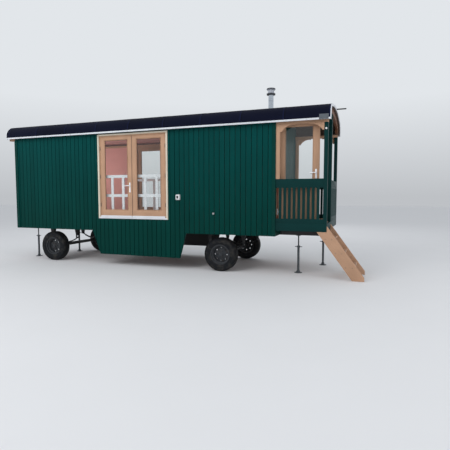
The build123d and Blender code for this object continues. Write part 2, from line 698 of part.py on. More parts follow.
def leaf_spring(x):
    """A spring pack on the axle, pinned to a bracket at its back end and to a shackle at its front end."""
    y_low = -RAIL_Y - SPRING_WIDTH / 2
    y_high = y_low + SPRING_WIDTH
    seat = AXLE_Z + AXLE_BEAM / 2
    eye_z = seat + SPRING_RISE
    spring = leaf_pack(x, y_low, y_high)
    back, front = x - SPRING_SPAN / 2, x + SPRING_SPAN / 2

    pins = [(back, eye_z), (front, eye_z), (front, eye_z + SHACKLE)]
    for pin_x, pin_z in pins:
        pin = Pos(pin_x, (y_low + y_high) / 2, pin_z) * Rot(90, 0, 0)
        spring += pin * Cylinder(SPRING_PIN, SPRING_WIDTH + 4 * CHEEK)
        spring += pin * Cylinder(SPRING_EYE, SPRING_WIDTH)
    for pin_x, low in ((back, eye_z), (front, eye_z + SHACKLE)):
        spring += cheeks(Polyline(
            (pin_x - CHEEK_TOP / 2, RAIL_LOW_Z), (pin_x - SPRING_EYE, low - SPRING_EYE),
            (pin_x + SPRING_EYE, low - SPRING_EYE), (pin_x + CHEEK_TOP / 2, RAIL_LOW_Z),
            (pin_x - CHEEK_TOP / 2, RAIL_LOW_Z),
        ), y_low, y_high)
    half = SPRING_EYE - LINK_INSET
    spring += cheeks(Polyline(
        (front - half, eye_z - half), (front + half, eye_z - half), (front + half, eye_z + SHACKLE + half),
        (front - half, eye_z + SHACKLE + half), (front - half, eye_z - half),
    ), y_low - CHEEK, y_high + CHEEK)

    top = seat + SPRING_LEAF * SPRING_LEAVES
    low = seat - AXLE_BEAM - SADDLE_THICK
    wide = (y_low - CHEEK, y_high + CHEEK)
    spring += block((x - SADDLE / 2, x + SADDLE / 2), wide, (top, top + SADDLE_THICK))
    spring += block((x - SADDLE / 2, x + SADDLE / 2), wide, (low, low + SADDLE_THICK))
    for side in (-1, 1):
        bolt_x = x + side * (AXLE_BEAM / 2 + U_BOLT_RADIUS + U_BOLT_CLEARANCE)
        for bolt_y in (y_low + U_BOLT_RADIUS, y_high - U_BOLT_RADIUS):
            spring += upright(U_BOLT_RADIUS, bolt_x, bolt_y, low, top + SADDLE_THICK)
    return spring


def make_chassis():
    rail = channel(*CHASSIS_X)
    save("chassis_rails", rail, far(rail))

    span = RAIL_Y + RAIL_FLANGE / 2 - RAIL_STEEL
    crosses = []
    first, last = CHASSIS_X[0] + CROSS_INSET, CHASSIS_X[1] - CROSS_INSET
    for number in range(CROSS_COUNT):
        x = first + number * (last - first) / (CROSS_COUNT - 1)
        limits = (x - CROSS_WIDTH / 2, x + CROSS_WIDTH / 2)
        low = RAIL_LOW_Z + (RAIL_HEIGHT - CROSS_HEIGHT) / 2
        crosses.append(block(limits, (-span, span), (low, low + CROSS_HEIGHT)))
    save("chassis_cross_members", *crosses)

    axles = []
    springs = []
    for x in AXLE_XS:
        beam_end = WHEEL_Y - TYRE_WIDTH / 2 - BEAM_SETBACK
        low, high = AXLE_Z - AXLE_BEAM / 2, AXLE_Z + AXLE_BEAM / 2
        beam = block((x - AXLE_BEAM / 2, x + AXLE_BEAM / 2), (-beam_end, beam_end), (low, high))
        stub_end = WHEEL_Y + HUB_LENGTH / 2 - HUB_CAP
        beam += Pos(x, 0, AXLE_Z) * Rot(90, 0, 0) * Cylinder(STUB_RADIUS, 2 * stub_end)
        axles.append(beam)
        spring = leaf_spring(x)
        springs.extend((spring, far(spring)))
    save("axles", *axles)
    save("leaf_springs", *springs)


def tyre():
    """A tyre about the Y axis through the origin, its middle at Y = 0."""
    half = TYRE_WIDTH / 2
    bead = RIM_WIDTH / 2
    lip = RIM_RADIUS + RIM_LIP
    section = make_face(Polyline(
        (RIM_RADIUS, -bead), (lip, -bead), (lip + TYRE_SHOULDER, -half), (TYRE_RADIUS, -half),
        (TYRE_RADIUS, half), (lip + TYRE_SHOULDER, half), (lip, bead), (RIM_RADIUS, bead),
        (RIM_RADIUS, -bead),
    ))
    corners = section.vertices().filter_by(lambda v: abs(v.X - TYRE_RADIUS) < 1)
    section = fillet(corners, TYRE_SHOULDER)
    return revolve(section, Axis.Y)


def rim():
    """A rim of even thickness: a lip and a bead seat at each side of a well."""
    bead = RIM_WIDTH / 2
    well = RIM_RADIUS - RIM_WELL_DEPTH
    seat_end = bead - RIM_SEAT
    well_end = seat_end - RIM_WELL_SLOPE
    half = [
        (RIM_RADIUS - RIM_STEEL, bead + RIM_STEEL), (RIM_RADIUS + RIM_LIP, bead + RIM_STEEL),
        (RIM_RADIUS + RIM_LIP, bead), (RIM_RADIUS, bead), (RIM_RADIUS, seat_end), (well, well_end),
        (well, 0), (well - RIM_STEEL, 0), (well - RIM_STEEL, well_end + RIM_STEEL / 2),
        (RIM_RADIUS - RIM_STEEL, seat_end + RIM_STEEL / 2),
    ]
    side = revolve(make_face(Polyline(*half, half[0])), Axis.Y)
    return side + mirror(side, about=Plane.XZ)


def wheel_disc():
    """The steel wheel with its hub, the outer side at -Y. The bore takes the stub of the axle."""
    rim_inside = RIM_RADIUS - RIM_WELL_DEPTH - RIM_STEEL
    edge = rim_inside + DISC_OVERLAP
    face = -DISC_DEPTH
    disc = revolve(make_face(Polyline(
        (0, face), (DISC_FLAT_RADIUS, face), (edge, face + DISC_DEPTH),
        (edge, face + DISC_DEPTH + RIM_STEEL), (DISC_FLAT_RADIUS, face + RIM_STEEL),
        (0, face + RIM_STEEL), (0, face),
    )), Axis.Y)
    hole = Rot(90, 0, 0) * Cylinder(DISC_HOLE_RADIUS, RIM_WIDTH)
    hole = Pos((DISC_FLAT_RADIUS + rim_inside) / 2, 0, 0) * hole
    for number in range(DISC_HOLES):
        disc -= Rot(0, number * 360 / DISC_HOLES, 0) * hole

    end = -HUB_LENGTH / 2
    hub = revolve(make_face(Polyline(
        (0, end), (CAP_RADIUS - CAP_CHAMFER, end), (CAP_RADIUS, end + CAP_CHAMFER),
        (CAP_RADIUS, end + CAP_LENGTH), (HUB_RADIUS, end + CAP_LENGTH), (HUB_RADIUS, -end),
        (0, -end), (0, end),
    )), Axis.Y)
    bore_end = end + HUB_CAP - HUB_END_GAP
    depth = HUB_LENGTH / 2 - bore_end
    bore = Pos(0, bore_end + depth / 2, 0) * Rot(90, 0, 0) * Cylinder(STUB_RADIUS + STUB_CLEARANCE, depth)
    return rim() + disc + hub - bore


def make_wheels():
    for end, x in zip(("back", "front"), AXLE_XS):
        place = Pos(x, -WHEEL_Y, AXLE_Z)
        rubber = place * tyre()
        steel = place * wheel_disc()
        save(f"near_{end}_tyre", rubber)
        save(f"near_{end}_wheel", steel)
        save(f"far_{end}_tyre", far(rubber))
        save(f"far_{end}_wheel", far(steel))


def make_props():
    props = []
    places = []
    for side, (back, front) in ((-1, NEAR_PROP_INSETS), (1, FAR_PROP_INSETS)):
        places.extend(((back, side * RAIL_Y), (PORCH_X - front, side * RAIL_Y)))
    for x, y in places:
        prop = upright(PROP_FOOT_RADIUS, x, y, 0, PROP_FOOT)
        prop += upright(PROP_TUBE_RADIUS, x, y, PROP_FOOT, PROP_TUBE_TOP_Z)
        nut_top = PROP_TUBE_TOP_Z + PROP_NUT_HEIGHT
        nut = extrude(RegularPolygon(PROP_NUT_RADIUS, 6), amount=PROP_NUT_HEIGHT)
        prop += Pos(x, y, PROP_TUBE_TOP_Z) * nut
        socket_radius, socket_height = PROP_SOCKET
        socket = Cone(socket_radius, PROP_TUBE_RADIUS, socket_height)
        prop += Pos(x, y, PROP_FOOT + socket_height / 2) * socket
        prop += upright(PROP_SCREW_RADIUS, x, y, nut_top, RAIL_LOW_Z - PROP_HEAD_THICK)
        bar = Pos(x, y, PROP_TUBE_TOP_Z + PROP_NUT_HEIGHT / 2) * Rot(0, 90, 0)
        prop += bar * Cylinder(PROP_HANDLE_RADIUS, PROP_HANDLE_LENGTH)
        half = PROP_HEAD / 2
        head_z = (RAIL_LOW_Z - PROP_HEAD_THICK, RAIL_LOW_Z)
        prop += block((x - half, x + half), (y - half, y + half), head_z)
        props.append(prop)
    save("screw_props", *props)


# Chimney and small fittings


def make_chimney():
    low = CROWN_TOP_Z - ROOF_SHELL - PIPE_DROP
    pipe = upright(PIPE_RADIUS, CHIMNEY_X, CHIMNEY_Y, low, PIPE_TOP_Z)
    pipe -= upright(PIPE_RADIUS - PIPE_STEEL, CHIMNEY_X, CHIMNEY_Y, low, PIPE_TOP_Z)
    save("chimney_pipe", pipe)

    inner = PIPE_RADIUS + PIPE_CLEARANCE
    ring_top = COWL_RING_Z + COWL_RING
    cap_low = COWL_TOP_Z - COWL_RING
    section = make_face(Polyline(
        (inner, COWL_RING_Z), (COWL_RADIUS, COWL_RING_Z), (COWL_RADIUS, ring_top),
        (COWL_BODY_RADIUS, ring_top), (COWL_BODY_RADIUS, cap_low), (COWL_RADIUS, cap_low),
        (COWL_RADIUS, COWL_TOP_Z - COWL_LID_RISE), (0, COWL_TOP_Z),
        (0, COWL_TOP_Z - COWL_LID_RISE - COWL_STEEL),
        (COWL_BODY_RADIUS - COWL_STEEL, cap_low), (COWL_BODY_RADIUS - COWL_STEEL, ring_top),
        (inner, ring_top), (inner, COWL_RING_Z),
    ))
    cowl = revolve(Plane.XZ * section, Axis.Z)
    save("chimney_cowl", Pos(CHIMNEY_X, CHIMNEY_Y, 0) * cowl)

    base = CROWN_TOP_Z - FLASHING_HEIGHT
    top = CROWN_TOP_Z + COVERING + FLASHING_HEIGHT
    cone = Cone(FLASHING_RADIUS, inner + COWL_STEEL, top - base)
    collar = Pos(CHIMNEY_X, CHIMNEY_Y, (base + top) / 2) * cone
    collar -= across(roof_face(-COVERING, PLATE_TOP_Z), *ROOF_X)
    save("chimney_flashing", collar - flue_hole(inner))


def make_fittings():
    half_w, half_h = INLET_WIDTH / 2, INLET_HEIGHT / 2
    inlet_x = WINDOW_X + WINDOW_WIDTH + INLET_OFFSET
    inlet = block(
        (inlet_x - half_w, inlet_x + half_w),
        (-HALF - INLET_DEPTH, -HALF),
        (INLET_Z - half_h, INLET_Z + half_h),
    )
    inlet = chamfer(inlet.edges().filter_by(Axis.X).sort_by(Axis.Y)[0:2], INLET_CHAMFER)
    vent = Pos(VENT_X, -HALF - VENT_DEPTH / 2, VENT_Z) * Rot(90, 0, 0) * Cylinder(VENT_RADIUS, VENT_DEPTH)
    save("wall_fittings", inlet, vent)

    rod_x = ROOF_X[1] + ARCH_TRIM_THICK
    rod_z = CROWN_TOP_Z + COVERING - ARCH_TRIM_WIDTH / 2
    rod = Pos(rod_x + CROWN_ROD_LENGTH / 2, 0, rod_z) * Rot(0, 90, 0)
    save("crown_rod", rod * Cylinder(CROWN_ROD_RADIUS, CROWN_ROD_LENGTH))


os.makedirs("parts", exist_ok=True)
make_roof()
make_walls()
make_floor()
make_windows()
make_door()
make_porch()
make_stair()
make_chassis()
make_wheels()
make_props()
make_chimney()
make_fittings()
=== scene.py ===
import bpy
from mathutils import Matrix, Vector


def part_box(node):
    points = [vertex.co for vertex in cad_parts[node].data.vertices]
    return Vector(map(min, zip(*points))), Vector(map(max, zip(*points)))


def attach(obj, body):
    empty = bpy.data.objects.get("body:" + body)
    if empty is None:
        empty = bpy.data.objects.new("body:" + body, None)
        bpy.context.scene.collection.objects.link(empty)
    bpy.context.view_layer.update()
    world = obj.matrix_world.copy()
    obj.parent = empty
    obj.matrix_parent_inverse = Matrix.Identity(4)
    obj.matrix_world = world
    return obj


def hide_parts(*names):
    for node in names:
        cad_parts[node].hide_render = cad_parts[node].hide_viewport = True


bl_info = {
    "name": "Shepherd's Hut",
    "version": (1, 0, 0),
    "blender": (4, 5, 0),
    "location": "View3D > Sidebar > Hut",
    "description": "Dresses a timber living wagon: boards, joinery, roofing, running gear and stove pipe",
    "category": "Object",
}

import math

import bmesh
import bpy
from bpy.props import FloatProperty, FloatVectorProperty, IntProperty, PointerProperty
from bpy.types import Operator, Panel, PropertyGroup
from mathutils import Matrix, Vector

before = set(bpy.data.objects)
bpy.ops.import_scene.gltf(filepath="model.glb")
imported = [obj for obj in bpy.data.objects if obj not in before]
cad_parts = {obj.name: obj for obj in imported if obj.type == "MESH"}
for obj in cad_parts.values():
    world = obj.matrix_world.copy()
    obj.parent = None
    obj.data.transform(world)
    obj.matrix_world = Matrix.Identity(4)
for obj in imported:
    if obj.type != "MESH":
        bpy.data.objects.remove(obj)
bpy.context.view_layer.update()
MM = 0.001
HUT = "hut"
DOOR_LEAF = "entrance_door_leaf"
SIDES = {"near": -1, "far": 1}

# Places read from the frame
CABIN_LOW, CABIN_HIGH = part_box("near_wall")
CABIN_X = (CABIN_LOW.x, CABIN_HIGH.x)
WALL_FACE = -CABIN_LOW.y
INNER_FACE = -CABIN_HIGH.y
WALL_DEPTH = WALL_FACE - INNER_FACE
WALL_Z = (CABIN_LOW.z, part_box("wall_plates")[1].z)
PLATE_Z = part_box("wall_plates")[0].z
GABLE_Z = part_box("back_gable")[0].z
ROOF_X = (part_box("roof_crown")[0].x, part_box("roof_crown")[1].x)
ROOF_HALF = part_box("roof_shoulders")[1].y
ROOF_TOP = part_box("roof_crown")[1].z

# Walls, lining and ceiling
SKIRT_DEPTH = 0.030
JOINT = 0.0003
CUT = 0.004
NAIL_INSET = 0.040
LINING_PITCH = 0.100
CEILING_THICK = 0.009
CEILING_JOINT = 0.004

# The roof section: a shallow crown that runs into two tight shoulders
SHOULDER = 0.250
CROWN_TURN = math.radians(13)
SPRING_Z = WALL_Z[1] + 0.050
ROOF_SHELL = 0.045
FELT_LOW_Z = WALL_Z[1] + 0.015
SHEET_X = (0.030, 0.205)
SHEET_RISE = 0.032
SHEET_THICK = 0.0015

# French windows
WINDOW_TRIM = 0.030
WINDOW_FRAME = 0.030
FRAME_DEPTH = 0.070
WINDOW_STOP = 0.012
LEAF_GAP = 0.003
LEAF_STILE = 0.115
LEAF_TOP_RAIL = 0.080
LEAF_BOTTOM_RAIL = 0.140
GLASS_HALF = 0.010
ARCHITRAVE_LIP = 0.010
ARCHITRAVE_SEAT = 0.004
ARCHITRAVE_ROUND = 0.002
BEAD = 0.012
BAR_INSET = 0.006
BAR_DROP = 0.026
BAR_REACH = 0.028
BAR_HEIGHT = 0.038
SEAL = 0.009
SEAL_PROUD = 0.0015
WINDOW_LEVER_Z = 1.840
GUARD_BOARD = 0.065
GUARD_BAYS = 6
GUARD_MID = 0.525
BOLT_HEAD = 0.007

# Levers and hinges, with outlines in millimetres
PLATE_WIDTH = 0.032
PLATE_HEIGHT = 0.220
PLATE_DROP = 0.150
PLATE_THICK = 0.007
LEVER_REACH = 0.046
LEVER_RADIUS = 0.0085
LEVER_COLLAR = ((0, 4), (16, 4), (16, 10), (13, 14), (9, 14), (9, 40), (0, 40))
LEVER_PATH = ((0, 10, 0), (0, 2, 0), (10, 0, 0), (40, 0, 1), (80, 0, -1), (118, 2, -4))
KEY_ROSE = ((0, 4), (9, 4), (9, 9), (7, 10), (0, 10))
KEY_DROP = 0.085
LOCK_PLATE = 0.0015
LOCK_HALF = 0.010
LOCK_Z = (-0.13, 0.08)
HINGE_RADIUS = 0.007
HINGE_HEIGHT = 0.090
HINGE_END = 0.260
# Half a hinge's outline, from its ball to its middle, in parts of its radius and its height
HINGE_HALF = (
    (0, 0.5), (0.5, 0.5), (0.8, 0.47), (0.5, 0.44), (0.5, 0.43), (1, 0.42), (1, 0.15), (0.9, 0.145),
    (1, 0.14),
)

# Entrance door
DOOR_THICK = 0.040
DOOR_STILE = 0.125
DOOR_BOTTOM_RAIL = 0.180
DOOR_LOCK_RAIL = 0.130
DOOR_PROUD = 0.010
DOOR_HEAD = 0.030
THRESHOLD = 0.012
HAIR = 0.0005
PANEL_RECESS = 0.010
PANEL_FIELD = 0.050
PANEL_RAISE = 0.007

# Porch and stair
POST = 0.075
LAMP_Z = 2.875
LAMP_BASE = ((0, 0), (26, 0), (26, 6), (22, 9), (0, 9))
LAMP_DOME = ((0, 9), (19, 9), (19, 18), (16, 26), (9, 31), (0, 33))
TOP_BOARD = 0.173
BOTTOM_BOARD = 0.090
SLAT_PITCH = 0.092
SLAT_SCREW = 0.005
DECK_GAP = 0.006
BEARER = 0.060
BEARER_PITCH = 0.200
STAIR_LEAN = math.radians(36.2)
TREAD_EASE = 0.004
TREAD_GROOVES = 4
TREAD_GROOVE = 0.006
TREAD_GROOVE_PITCH = 0.018
TREAD_NOSE = 0.024

# Running gear, with the tyre's wall in millimetres: distance from the axle and from the middle plane
PROP_FOOT = 0.080
PROP_Y = 0.575
PROP_SCREW = 0.0118
PROP_SCREW_Z = (0.570, 0.782)
THREAD = 0.006
THREAD_DEPTH = 0.0022
U_BOLT_X = 0.043
U_BOLT_Y = 0.023
U_BOLT_NUT = (0.011, 0.010, 0.006)
DISC_FACE = 0.030
NUT_RADIUS = 0.014
NUT_HEIGHT = 0.016
VALVE_RADIUS = 0.0045
VALVE_PATH = ((186, 0, 22), (186, 0, 42), (178, 0, 64))
TYRE_HALF = 0.1
TREAD_HALF = 0.80
TREAD_EDGE = 0.78
BLOCK_ROOT = 0.001
BLOCK_EASE = 0.0015
# A lug's outline on the shoulder: the height above the tread's base, and the part of the half width
LUG = ((-0.020, 0.955), (-0.012, 0.995), (0.000, 0.90))
LUG_FOOT = -0.004
TYRE_WALL = (
    (206, 80), (217, 84.5), (222, 89), (232, 93.5), (236, 93), (240, 95.5), (262, 98.5), (265, 99.9),
    (270, 99.9), (273, 98.5), (300, 98.5), (303, 97.5), (318, 95.5), (332, 90.5), (343, 84),
)

# Eased edges: of the lead, the rod and the fittings, then of the chassis steel, then of thin steel
METAL_EASE = 0.002
STEEL_EASE = 0.0015
THIN_EASE = 0.001

# Chimney
PIPE_STEEL = 0.003
PIPE_BEADS = (0.10, 0.30)
PIPE_BEAD = ((0, -4), (1.8, -2), (1.8, 2), (0, 4))
SEAM_HALF = 0.004
COLLAR_RISE = 0.115
COLLAR = ((0.5, 0), (28, -20), (29, -18), (4, 3), (4, 20), (0.5, 20))
COWL_STEP = 0.034
COWL_RING = 0.030
COWL_ROLL = 0.0025
COWL_FIT = 0.0003
COWL_LOUVRES = 24
LOUVRE_DEPTH = 0.006

# Wall fittings
INLET_RIM = 0.006
INLET_LIP = 0.010
INLET_STEP = 0.012
INLET_WINDOW_INSET = 0.005
INLET_FRAME = ((0, 0), (0, 4), (-3, 5), (-6, 4), (-6, 0))
INLET_PIN = ((0, 0), (4, 0), (4, 12), (0, 12))
INLET_PINS = (0.022, 0.034)

# Stage
FLOOR_REACH = 60.0
CAMERA_AT = (4.3875, -8.925, 1.60)
CAMERA_DROP = 4.1
CAMERA_TURN = 20.0
SENSOR = 36.0
SKY_TINT = (0.93, 0.96, 1.0, 1.0)
LAMPS = (
    ("key", 1500, 8.0, (-4.0, -11.0, 9.0), (0, 0, 1.6)),
    ("fill", 450, 7.0, (11.0, -5.0, 5.0), (2, 0, 1.6)),
    ("back", 500, 8.0, (-2.0, 11.0, 8.0), (0, 0, 1.6)),
)
CABIN_LAMP = (0.6, (-3.2, -0.6, 2.3), (-2.5, WALL_FACE, 2.0))


def linear(code):
    """An sRGB hex colour as linear red, green, blue and alpha."""
    parts = [int(code[start:start + 2], 16) / 255 for start in (1, 3, 5)]
    return tuple(p / 12.92 if p <= 0.04045 else ((p + 0.055) / 1.055) ** 2.4 for p in parts) + (1.0,)


def colour(name, code, description):
    """A colour property with its default given as sRGB hex."""
    return FloatVectorProperty(
        name=name, description=description, subtype="COLOR", size=4, min=0, max=1, default=linear(code)
    )


def length(name, millimetres, description):
    """A length property with its default given in millimetres."""
    return FloatProperty(
        name=name, description=description, unit="LENGTH", min=0, precision=4, default=millimetres * MM
    )


class HutColours(PropertyGroup):
    """Colours of the paints, oils, metals and sheets on the hut"""

    # The two wall greens make a painted reflection of the sky: lighter up the wall and darker at its foot.
    # Their change with height is painted light, not fading.
    green: colour("Wall green", "#01403E", "Satin paint on the boards, higher up the wall")
    green_low: colour("Low wall green", "#003630", "The same paint lower down, where it has faded less")
    green_trim: colour("Trim green", "#083130", "Paint on the posts, edge beams and balustrades")
    timber: colour("Timber", "#BD977B", "Oiled softwood between the growth rings")
    timber_dark: colour("Timber rings", "#936C54", "Oiled softwood in the growth rings")
    cream: colour("Cream", "#D8D0BE", "Paint on the window architraves")
    white: colour("White", "#D7DADF", "Paint on the roof trims and weather bars")
    felt: colour("Felt", "#080C1F", "Mineral roofing felt")
    ceiling: colour("Ceiling", "#4B392D", "Stained boards under the roof")
    lining: colour("Lining", "#E0A29A", "Paint on the inside of the walls")
    floor: colour("Floor", "#8A6A50", "Oiled floor boards")
    rubber: colour("Rubber", "#0C0F14", "Weathered tyre rubber")
    chassis: colour("Chassis", "#15171A", "Black chassis paint")
    wheel: colour("Wheel", "#2A2D31", "Dull paint on the wheels")
    zinc: colour("Zinc", "#5C6165", "Weathered galvanised steel")
    steel: colour("Stainless steel", "#C3CAD2", "Brushed stainless steel")
    lead: colour("Lead", "#6C7178", "Dressed lead sheet")


class HutBoards(PropertyGroup):
    """Sizes of the boards and strips on the walls, floor and ceiling"""

    pitch: length("Board pitch", 115, "Distance from one wall board to the next")
    thick: length("Board thickness", 12, "Thickness of a wall board")
    groove: length("Groove width", 12, "Width of the groove between two boards")
    corner_width: length("Corner strip width", 70, "Width of the strips that cover the corners")
    corner_thick: length("Corner strip thickness", 16, "Thickness of the corner strips")
    deck_pitch: length("Deck pitch", 118, "Distance from one deck board to the next")
    ceiling_pitch: length("Ceiling pitch", 92, "Distance from one ceiling board to the next")
    ease: length("Eased edge", 3, "Width of the eased edges of planed timber")
    screw_pitch: length("Screw pitch", 400, "Distance between the screws in a trim")


class HutRoof(PropertyGroup):
    """Sizes of the roofing sheets"""

    sheet: length("Sheet width", 1000, "Width of a sheet of roofing felt")
    lap: length("Lap", 90, "How far one sheet covers the next")
    lift: length("Lap lift", 2.5, "Thickness that a lap adds")


class HutWheels(PropertyGroup):
    """Tread and fastenings of the road wheels"""

    blocks: IntProperty(name="Tread blocks", description="Blocks around one tyre", min=12, default=60)
    ribs: IntProperty(name="Tread ribs", description="Rows of blocks across a tyre", min=1, default=4)
    block_depth: length("Tread depth", 7, "Depth of the tread grooves")
    nuts: IntProperty(name="Wheel nuts", description="Nuts on one wheel", min=3, default=6)
    nut_circle: length("Nut circle", 80, "Radius of the circle that the nuts stand on")


class HutStage(PropertyGroup):
    """Floor, lamps and camera"""

    floor: colour("Stage floor", "#E0E1E3", "Pale floor that the hut stands on")
    sky: FloatProperty(name="World", description="Light from all round", min=0, default=0.68)
    key: FloatProperty(name="Lamps", description="Light from the three large lamps", min=0, default=0.5)
    cabin: FloatProperty(name="Cabin light", description="Lamp inside the cabin", min=0, default=14.0)
    lens: FloatProperty(name="Lens", description="Focal length in millimetres", min=1, default=32.0)


# Node trees

# The values that most of a noise texture lies between
USUAL = (0.3, 0.7)


def add(tree, kind, inputs=None, **settings):
    """Adds a node with its settings, and gives its sockets plain values, outputs or whole nodes."""
    node = tree.nodes.new(kind)
    for key, value in settings.items():
        setattr(node, key, value)
    for key, value in (inputs or {}).items():
        if isinstance(value, bpy.types.Node):
            value = value.outputs[0]
        if isinstance(value, bpy.types.NodeSocket):
            tree.links.new(value, node.inputs[key])
        else:
            node.inputs[key].default_value = value
    return node


# Materials


def new_material(name):
    """An empty material, and the Object coordinates to draw on."""
    material = bpy.data.materials.new(name)
    material.use_nodes = True
    tree = material.node_tree
    tree.nodes.clear()
    return material, tree, add(tree, "ShaderNodeTexCoord").outputs["Object"]


def fibres(axis, reach, width):
    """Sizes along X, Y and Z of fibres that run along one axis, in millimetres."""
    return tuple(reach if number == axis else width for number in range(3))


def spaced(tree, spot, sizes, turn=(0, 0, 0)):
    """Coordinates turned, then scaled so that a pattern has these sizes in millimetres along X, Y and Z."""
    turned = add(tree, "ShaderNodeMapping", {"Vector": spot, "Rotation": turn})
    scale = tuple(1000 / size for size in sizes)
    return add(tree, "ShaderNodeMapping", {"Vector": turned, "Scale": scale})


def drawn(tree, spot, size, detail=3.0, turn=(0, 0, 0)):
    """A noise whose features have a size in millimetres, or sizes along X, Y and Z."""
    sizes = size if isinstance(size, tuple) else (size,) * 3
    place = spaced(tree, spot, sizes, turn)
    return add(tree, "ShaderNodeTexNoise", {"Vector": place, "Scale": 1.0, "Detail": detail})


def count_along(tree, spot, axis, start, pitch):
    """How many pitches a place lies past a start, along one axis."""
    place = add(tree, "ShaderNodeSeparateXYZ", {0: spot}).outputs[axis]
    past = add(tree, "ShaderNodeMath", {0: place, 1: start}, operation="SUBTRACT")
    return add(tree, "ShaderNodeMath", {0: past, 1: pitch}, operation="DIVIDE")


def one_each(tree, count):
    """A value from 0 to 1 that differs from one board or sheet to the next, by the whole part of a count."""
    number = add(tree, "ShaderNodeMath", {0: count}, operation="FLOOR")
    return add(tree, "ShaderNodeTexWhiteNoise", {"W": number}, noise_dimensions="1D")


def blended(tree, first, second, pattern, start=0.0, end=1.0, most=1.0):
    """One colour that goes over to another, by a part at most, as a pattern goes from start to end."""
    part = add(tree, "ShaderNodeMapRange", {0: pattern, 1: start, 2: end, 4: most})
    return add(tree, "ShaderNodeMix", {0: part, 6: first, 7: second}, data_type="RGBA").outputs[2]


def toned(tree, base, *parts):
    """A colour made lighter or darker by the sum of several patterns.

    Each part is a pattern with the values that it is moved to, and then the values that it is moved
    from where they aren't a noise's usual ones.
    """
    value = 0.0
    for pattern, low, high, *span in parts:
        start, end = span or USUAL
        part = add(tree, "ShaderNodeMapRange", {0: pattern, 1: start, 2: end, 3: low, 4: high})
        value = add(tree, "ShaderNodeMath", {0: value, 1: part}, operation="ADD")
    return add(tree, "ShaderNodeHueSaturation", {"Color": base, "Value": value})


def coat(tree, values, base, roughness=None, height=None, depth=0.0):
    """Ends a material with a Principled shader, its plain values and its colour.

    The roughness is a part as in toned, and the depth of the bump is in millimetres.
    """
    inputs = {**values, "Base Color": base}
    if roughness:
        pattern, low, high, *span = roughness
        start, end = span or USUAL
        part = {0: pattern, 1: start, 2: end, 3: low, 4: high}
        inputs["Roughness"] = add(tree, "ShaderNodeMapRange", part)
    if height:
        bump = {"Height": height, "Strength": 1.0, "Distance": depth * MM}
        inputs["Normal"] = add(tree, "ShaderNodeBump", bump)
    shader = add(tree, "ShaderNodeBsdfPrincipled", inputs)
    return add(tree, "ShaderNodeOutputMaterial", {0: shader}), shader


def painted_boards(name, colours, boards, start, axis):
    """Satin alkyd paint, brushed on grooved softwood boards.

    It has an even sheen, faint marks up each board, a tone that differs a little from board to board,
    dirt and painted shade in the grooves, and a painted reflection of the sky that pales it up the wall.
    """
    material, tree, spot = new_material(name)
    count = count_along(tree, spot, axis, start, boards.pitch)
    edge = add(tree, "ShaderNodeMath", {0: count, 1: 0.5}, operation="PINGPONG")
    groove = boards.groove / boards.pitch / 2
    rise = add(tree, "ShaderNodeSeparateXYZ", {0: spot}).outputs[2]
    streaks = drawn(tree, spot, (14, 14, 420), 4.0)
    patches = drawn(tree, spot, 700, 2.0)
    # Painted reflection of the sky: the green goes lighter up the wall and darker towards its foot
    base = blended(tree, tuple(colours.green_low), tuple(colours.green), rise, 0.8, 2.9)
    board = (one_each(tree, count), 0.93, 1.07, 0, 1)
    base = toned(tree, base, board, (patches, -0.06, 0.06), (streaks, -0.05, 0.05))
    # Painted shade and dirt in each groove: a near-black green laid over the groove
    base = blended(tree, base, linear("#03100F"), edge, groove * 1.15, groove * 0.5, 0.72)
    coat(tree, {"Specular IOR Level": 0.07}, base, (streaks, 0.42, 0.54), streaks, 0.5)
    return material


def painted_timber(name, paint, wear, axis):
    """Satin alkyd paint on planed softwood: a soft sheen with the grain just showing along one axis."""
    material, tree, spot = new_material(name)
    fibre = drawn(tree, spot, fibres(axis, 350, 9), 4.0)
    patches = drawn(tree, spot, 450)
    grime = drawn(tree, spot, 160, 5.0)
    clean = toned(tree, tuple(paint), (fibre, 0.95, 1.05), (patches, -0.07, 0.07))
    dirty = add(tree, "ShaderNodeHueSaturation", {"Color": tuple(paint), "Value": 0.62})
    base = blended(tree, clean, dirty, grime, 0.52, 0.72, wear)
    coat(tree, {"Specular IOR Level": 0.11}, base, (fibre, 0.38, 0.50), fibre, 0.4)
    return material


def oiled_softwood(name, colours, turn, axis):
    """Planed larch with a clear oil: warm rings of 10 to 20 mm along the grain, fine fibres, a low sheen."""
    material, tree, spot = new_material(name)
    bent = spaced(tree, spot, fibres(axis, 700, 28), turn)
    rings = {"Vector": bent, "Scale": 1.0, "Distortion": 5.0, "Detail": 2.0, "Detail Scale": 0.6}
    rings = add(tree, "ShaderNodeTexWave", rings, bands_direction="DIAGONAL").outputs[1]
    fibre = drawn(tree, spot, fibres(axis, 160, 3), turn=turn)
    weather = drawn(tree, spot, 380)
    base = blended(tree, tuple(colours.timber), tuple(colours.timber_dark), rings, 0.25, 1.0, 0.38)
    base = toned(tree, base, (fibre, 0.93, 1.06), (weather, -0.09, 0.07))
    ridge = add(tree, "ShaderNodeMath", {0: rings, 1: -0.4, 2: fibre}, operation="MULTIPLY_ADD")
    coat(tree, {"Specular IOR Level": 0.3}, base, (rings, 0.50, 0.62, 0, 1), ridge, 0.3)
    return material


